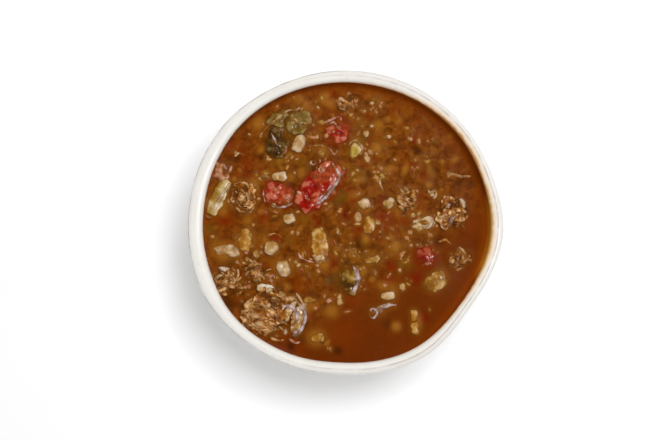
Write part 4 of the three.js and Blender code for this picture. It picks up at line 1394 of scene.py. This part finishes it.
def broth_finish():
    material = new_material("thick_brown_broth")
    tree = material.node_tree
    place = object_place(tree)
    slow = broth_patches(tree, place, 62.0, 0.13, 2.0, 0.5, (0.178, 0.044, 0.003), (0.138, 0.026, 0.001))
    middle = broth_patches(tree, place, 250.0, 0.13, 3.0, 0.6, (0.094, 0.018, 0.001), (0.262, 0.074, 0.004))
    fine = broth_patches(tree, place, 520.0, 0.16, 3.0, 0.5, (0.080, 0.016, 0.001), (0.300, 0.090, 0.008))
    clear = attribute(tree, "clear")
    busy = spread_out(tree, clear, 0.0, 1.0, 1.0, 0.30)
    colour = tinted(tree, slow, busy, 0.72, middle)
    colour = tinted(tree, colour, busy, 0.30, fine)
    colour = tinted(tree, colour, clear, 0.75, CLEAR_BROTH)
    colour = tinted(tree, colour, wall_tint_share(tree, place), 0.85, BROTH_AT_WALL)
    for name, share, tint in TINTS:
        colour = tinted(tree, colour, attribute(tree, name), share, tint)
    dark = place_group(tree, "specks", {"Vector": place, "Size": 420.0, "Radius": 0.16, "Share": 0.22})
    colour = tinted(tree, colour, dark["Mask"], 0.25, DARK_SPECK)
    pale = place_group(tree, "specks", {"Vector": place, "Size": 560.0, "Radius": 0.17, "Share": 0.12})
    colour = tinted(tree, colour, calculate(tree, "MULTIPLY", pale["Mask"], busy), 0.30, PALE_SPECK)
    wet = place_group(tree, "wet bumps", {
        "Vector": place, "Size": 1300.0, "Depth": 0.012 * MM, "Coarse": 420.0})
    rough = spread_out(tree, wet["Height"], 1.1, 1.9, 0.14, 0.22)
    return finish_material(material, Base_Color=colour, Roughness=rough, Normal=wet["Normal"],
                           Specular_IOR_Level=0.30)


settle(broth, broth_finish(), ["soup"])

# %% [markdown]
# ## Fibres, membranes, curled edges and painted highlights
# The surface is alive with thin curved things: meat fibres, onion membranes, the curled skin along a pepper,
# and painted highlights: pale lavender lines along the lit edges of pieces. Each is a curve with a round
# bevel that tapers at both ends. It is draped over what lies under it: a ray from above finds the height of
# the surface at every step.

# %% Where they lie: width in millimetres, then places in millimetres
STRANDS = {
    # Painted highlights: the lavender strands are pale lines that stand in for the lamp's glint along the
    # right edges of the peppers, a beef crumble and the onion curl.
    "lavender": [
        (1.2, (-5.9, 27.0), (-3.8, 24.0), (-2.9, 21.2), (-4.3, 18.0), (-6.6, 14.8), (-9.3, 11.6),
         (-12.5, 8.9), (-14.5, 8.7)),
        (0.4, (-5.2, 21.6), (-6.9, 17.0), (-9.8, 13.2), (-12.8, 10.6)),
        (0.8, (-34.9, 10.3), (-32.6, 8.0), (-29.9, 7.1), (-26.7, 8.0), (-23.9, 9.4)),
        (1.4, (3.5, -19.4), (4.8, -22.1), (5.8, -25.3), (4.8, -29.0), (3.0, -31.7)),
        (1.5, (49.8, 3.6), (48.4, 1.6), (47.3, -1.6)),
        (0.8, (10.8, -40.9), (12.1, -39.0), (14.4, -40.4), (13.1, -43.1), (11.2, -42.7), (10.8, -41.2)),
        (1.0, (14.4, -39.9), (17.2, -38.6), (19.9, -37.7), (23.1, -37.2)),
        (1.3, (-28.9, -39.6), (-27.4, -37.8), (-24.8, -38.1), (-22.6, -39.9), (-22.1, -42.7),
         (-22.8, -45.2), (-24.6, -46.8)),
        (1.2, (-21.2, -36.7), (-19.0, -39.9), (-18.4, -42.7), (-18.9, -45.9), (-20.3, -48.6),
         (-21.8, -51.4)),
        (2.2, (-22.0, -48.4), (-22.8, -50.2), (-22.6, -51.8)),
        (0.7, (-34.0, 41.3), (-32.1, 37.7), (-30.8, 34.9)),
    ],
    "pale": [
        (1.0, (46.5, 23.0), (49.6, 22.1), (52.8, 21.4), (57.7, 21.4)),
        (0.8, (16.1, 22.0), (15.8, 18.5), (16.7, 15.7), (17.6, 13.3)),
        (0.8, (-6.1, 27.6), (-4.7, 25.3), (-3.4, 23.0)),
        (0.9, (-39.0, 20.3), (-36.7, 21.7), (-34.9, 20.3)),
        (0.9, (-28.9, 50.0), (-25.7, 51.8), (-23.0, 51.8), (-20.7, 53.2)),
        (0.8, (-39.0, 40.4), (-35.8, 44.0), (-32.1, 47.2), (-28.5, 50.0)),
        (0.9, (1.2, 34.9), (2.6, 37.2), (5.3, 37.7), (7.6, 34.0), (6.2, 30.8)),
        (0.7, (-14.8, 35.4), (-11.1, 35.8), (-8.9, 34.0)),
        (0.7, (-22.6, -31.7), (-20.7, -34.5), (-19.4, -36.7)),
        (0.6, (-24.4, -33.1), (-22.1, -35.8), (-20.7, -38.1)),
        (0.8, (-44.0, -40.4), (-43.1, -42.7)),
        (1.1, (-64.2, 3.6), (-62.6, 3.0), (-61.4, 2.4)),
        (1.0, (-63.4, -22.1), (-61.2, -23.5), (-59.7, -25.8)),
    ],
    "white": [
        (1.3, (-52.9, 18.2), (-55.0, 14.8), (-57.7, 10.7), (-60.2, 6.0)),
        (1.0, (37.7, 15.7), (38.6, 13.9), (40.9, 14.8), (41.4, 13.0), (40.0, 11.2)),
        (1.2, (51.9, 11.2), (53.7, 9.4), (53.9, 7.1)),
        (1.5, (-58.0, -20.4), (-55.4, -21.0), (-52.9, -20.8)),
        (1.2, (34.6, -1.6), (36.8, -2.2), (38.8, -0.8), (40.2, 2.2)),
    ],
    # Most pink strands are pink skin and the rims of bubbles; those on the red peppers, a small arc, an
    # outline and a curl along the top, are painted highlights.
    "pink": [
        (0.7, (-22.0, 14.4), (-20.3, 13.4)),
        (0.6, (-37.2, 16.2), (-37.6, 13.0), (-36.7, 9.8)),
        (0.6, (-28.5, 13.0), (-25.7, 10.3), (-27.6, 8.0)),
        (0.6, (-36.0, 10.6), (-34.0, 9.2), (-31.6, 9.8)),
        (0.8, (-55.9, 27.2), (-54.5, 24.9)),
        (0.8, (-52.2, 26.2), (-53.1, 23.1)),
        (0.7, (-26.7, 34.9), (-27.6, 32.6), (-29.4, 31.3)),
        (1.1, (-10.2, 45.9), (-7.0, 47.2), (-4.3, 48.6), (-2.5, 48.6), (-2.0, 46.8)),
        (0.7, (-7.4, 45.6), (-5.2, 46.2), (-4.0, 44.6)),
        (0.6, (-14.8, 28.9), (-13.5, 27.7), (-14.6, 26.8), (-16.0, 27.8), (-14.8, 28.9)),
        (0.5, (-12.6, 29.2), (-11.5, 28.4), (-12.5, 27.6)),
        (0.5, (-10.9, 25.6), (-9.6, 24.4), (-10.9, 23.2), (-12.2, 24.4), (-10.9, 25.6)),
        (0.7, (-21.6, -13.5), (-20.3, -15.7), (-17.5, -17.1), (-13.9, -18.0)),
        (0.8, (-46.7, -12.1), (-45.4, -13.5), (-44.0, -12.1)),
        (0.8, (-34.9, -40.9), (-31.2, -43.1), (-27.6, -45.9), (-25.3, -46.8)),
        (0.9, (-34.9, -25.3), (-33.1, -23.5), (-32.1, -25.3)),
        (1.0, (-26.0, -52.7), (-23.0, -54.5), (-20.6, -54.0)),
        (0.6, (-7.0, 34.2), (-5.2, 31.6), (-3.4, 33.8)),
    ],
    "tan": [
        (0.9, (-52.2, 15.3), (-50.4, 18.0), (-47.2, 18.5), (-44.9, 17.6), (-44.0, 14.8)),
        (1.2, (-44.0, 15.7), (-42.2, 12.1), (-41.7, 8.9), (-43.5, 6.2), (-46.7, 5.3), (-48.6, 7.1)),
        (0.8, (-50.4, 14.8), (-48.6, 13.0), (-49.5, 11.2), (-47.2, 10.7), (-45.4, 12.6)),
        (1.0, (-4.3, 56.8), (-2.9, 54.1), (-0.6, 53.2), (2.1, 53.2), (3.0, 56.4), (1.6, 57.7)),
        (0.7, (24.5, 13.0), (27.2, 13.5), (29.9, 14.4), (31.3, 13.5)),
        (0.7, (25.4, 11.2), (28.1, 11.2), (30.4, 10.7), (32.2, 11.6)),
        (0.7, (24.0, 10.3), (26.3, 8.4), (29.0, 7.5)),
        (0.8, (47.3, 8.9), (49.6, 9.4), (51.4, 7.5)),
        (0.7, (52.3, 4.8), (52.8, 2.5), (50.9, 0.2)),
        (0.6, (-18.9, -12.6), (-17.5, -15.3), (-15.2, -16.7)),
        (0.6, (-16.2, -13.9), (-13.9, -15.3)),
        (0.6, (-36.7, -7.1), (-34.4, -5.3), (-31.7, -4.8), (-28.9, -6.6)),
        (1.0, (-43.1, -43.6), (-40.8, -42.7), (-38.1, -42.7)),
        (1.1, (-39.9, -45.0), (-37.2, -45.9), (-34.9, -46.3)),
        (0.9, (-42.2, -46.8), (-38.5, -47.7), (-35.8, -47.7)),
        (1.4, (-43.1, -37.2), (-40.8, -38.6)),
        (0.9, (-47.2, -30.4), (-48.6, -32.2)),
        (0.8, (-44.0, -23.5), (-41.7, -21.2), (-39.4, -20.8)),
        (0.9, (-40.8, -19.9), (-38.5, -23.5), (-36.7, -25.8)),
        (0.7, (-42.2, -18.9), (-41.3, -17.1)),
        (0.8, (-38.6, -36.6), (-35.6, -37.6), (-33.0, -40.0)),
        (0.8, (-33.6, -42.8), (-31.4, -46.0), (-30.6, -49.2)),
        (0.9, (-34.6, -52.0), (-31.0, -53.6), (-27.6, -53.0)),
        (0.7, (-50.8, 30.6), (-48.6, 32.2), (-46.4, 31.0)),
        (0.8, (42.4, -8.6), (45.8, -7.6), (48.0, -9.6)),
        (0.7, (20.6, 5.6), (19.0, 4.0)),
    ],
}
print("strands:", {kind: len(strands) for kind, strands in STRANDS.items()})

# %% Short fibres that curl around each crumble of beef, and lie side by side in the shredded one
SHREDDED_REACH = 10
FIBRE_SHARE = 0.8
FIBRE_STEP = 1.1
FIBRE_KINDS = {"tan": 5, "pale": 3, "dark": 3}


def beef_fibres():
    draw = random.Random(59)
    fibres = {"tan": [], "pale": [], "dark": []}
    for x, y, reach, count in BEEF_PLACES:
        for _ in range(int(FIBRE_SHARE * count)):
            away, turn = reach * draw.uniform(0.2, 0.95), draw.uniform(0, 2 * math.pi)
            start = np.array([x + away * math.cos(turn), y + 0.8 * away * math.sin(turn)])
            if on_strip(*start):
                continue
            if reach > SHREDDED_REACH:
                curl = draw.uniform(-0.1, 0.1)
                heading = math.radians(draw.uniform(-62, 2))
            else:
                curl = draw.uniform(-0.4, 0.5)
                heading = turn + math.pi / 2 + draw.uniform(-1.2, 1.2)
            places = [start]
            for _ in range(draw.choice([3, 4, 5])):
                places.append(places[-1] + FIBRE_STEP * np.array([math.cos(heading), math.sin(heading)]))
                heading += FIBRE_STEP * curl + draw.uniform(-0.2, 0.2)
            fibres[pick(draw, FIBRE_KINDS)].append((draw.uniform(0.5, 1.2), *places))
    return fibres


for kind, fibres in beef_fibres().items():
    STRANDS[kind] = STRANDS.get(kind, []) + fibres
print("with fibres:", {kind: len(strands) for kind, strands in STRANDS.items()})

# %% Recipe for a strand
STRAND_STEP = 0.35
STRAND_LIFT = 0.16
STRAND_GAIN = 1.35
STRAND_THICK = 1 * MM
SMOOTHED_OVER = 5
TAPER_END = 0.03
TAPER_BLUNTNESS = 0.45
scene_tree = tree_of([*fine_pieces.values(), *bit_pieces, broth])


def smooth_path(places):
    ends = [places[0], *places, places[-1]]
    path = []
    for a, b, c, d in zip(ends, ends[1:], ends[2:], ends[3:]):
        a, b, c, d = (np.array(p) for p in (a, b, c, d))
        steps = max(2, int(np.linalg.norm(c - b) / STRAND_STEP))
        for t in np.arange(steps) / steps:
            path.append(0.5 * (2 * b + (c - a) * t + (2 * a - 5 * b + 4 * c - d) * t * t
                               + (3 * b - a - 3 * c + d) * t ** 3))
    return np.array([*path, places[-1]])


def draped(path, width):
    heights = np.array([surface_at(scene_tree, x, y) / MM for x, y in path])
    spare = SMOOTHED_OVER // 2
    padded = np.concatenate([[heights[0]] * spare, heights, [heights[-1]] * spare])
    level = np.convolve(padded, np.ones(SMOOTHED_OVER) / SMOOTHED_OVER, mode="valid")
    share = np.clip(np.linspace(0, 1, len(path)), TAPER_END, 1 - TAPER_END)
    taper = np.sin(np.pi * share) ** TAPER_BLUNTNESS
    return level + width * (STRAND_LIFT - 0.5 * (1 - taper)), taper


def add_strands(name, strands):
    curve = bpy.data.curves.new(name, "CURVE")
    curve.dimensions = "3D"
    curve.bevel_depth = 0.5 * STRAND_THICK
    curve.bevel_resolution = 2
    curve.use_fill_caps = True
    draw = random.Random(len(strands))
    for width, *places in strands:
        path = smooth_path(places)
        heights, taper = draped(path, width)
        spline = curve.splines.new("POLY")
        spline.points.add(len(path) - 1)
        for point, (x, y), z, thick in zip(spline.points, path, heights, taper):
            point.co = (*from_rim_centre(x, y, z * MM), 1)
            point.radius = STRAND_GAIN * width * thick * draw.uniform(0.8, 1.2)
    activate(add_object(name, curve))
    bpy.ops.object.convert(target="MESH")
    return bpy.context.object


print("strand recipe ready")

# %% Make the strands
STRAND_FINISHES = {
    # Painted highlight: a pale lavender finish for the highlight strands.
    "lavender": piece_finish(
        "painted_highlight_strand_finish", (0.360, 0.205, 0.135), (0.470, 0.325, 0.285), (0.132, 0.060, 0.025),
        (0.720, 0.590, 0.600), 380.0, (0.05, 0.86), 0.15, painted_light_share=0.7),
    "pale": piece_finish(
        "pale_membrane", (0.323, 0.158, 0.039), (0.476, 0.285, 0.117), (0.168, 0.065, 0.011),
        (0.646, 0.458, 0.234), 380.0, (0.08, 0.86), 0.16, painted_light_share=0.6),
    "white": piece_finish(
        "white_membrane", (0.459, 0.290, 0.127), (0.595, 0.443, 0.303), (0.238, 0.105, 0.026),
        (0.798, 0.675, 0.532), 380.0, (0.03, 0.86), 0.16, painted_light_share=0.6),
    # Pink skin, and painted highlights on the red peppers.
    "pink": piece_finish(
        "pink_skin_and_painted_highlight", (0.370, 0.109, 0.043), (0.510, 0.265, 0.173), (0.192, 0.038, 0.010),
        (0.684, 0.442, 0.336), 380.0, (0.06, 0.86), 0.15, painted_light_share=0.6),
    "dark": piece_finish(
        "dark_fibre", (0.085, 0.026, 0.003), (0.130, 0.045, 0.007), (0.040, 0.011, 0.001),
        (0.240, 0.110, 0.030), 380.0, (0.06, 0.7), 0.20, painted_light_share=0.6),
    "tan": piece_finish(
        "tan_fibre", (0.271, 0.088, 0.012), (0.464, 0.199, 0.043), (0.109, 0.032, 0.002),
        (0.693, 0.435, 0.205), 380.0, (0.06, 0.86), 0.20, painted_light_share=0.8),
}
STRAND_ROUGHNESS = 0.3
STRAND_BARE = 0.5 * MM
for kind, strands in STRANDS.items():
    piece = add_strands(kind + "_strands", strands)
    roughen(piece, soft_stuff, STRAND_ROUGHNESS)
    points = point_array(piece)
    x, y = from_middle(points)
    ground = np.array([surface_at(scene_tree, a, b) for a, b in zip(x, y)])
    store(piece, "bare", np.clip((points[:, 2] - ground) / STRAND_BARE, 0, 1))
    store(piece, "along", 0.5 + 0.5 * np.sin(x / 3 + y / 4))
    settle(piece, STRAND_FINISHES[kind])

# %% Done
print("done")
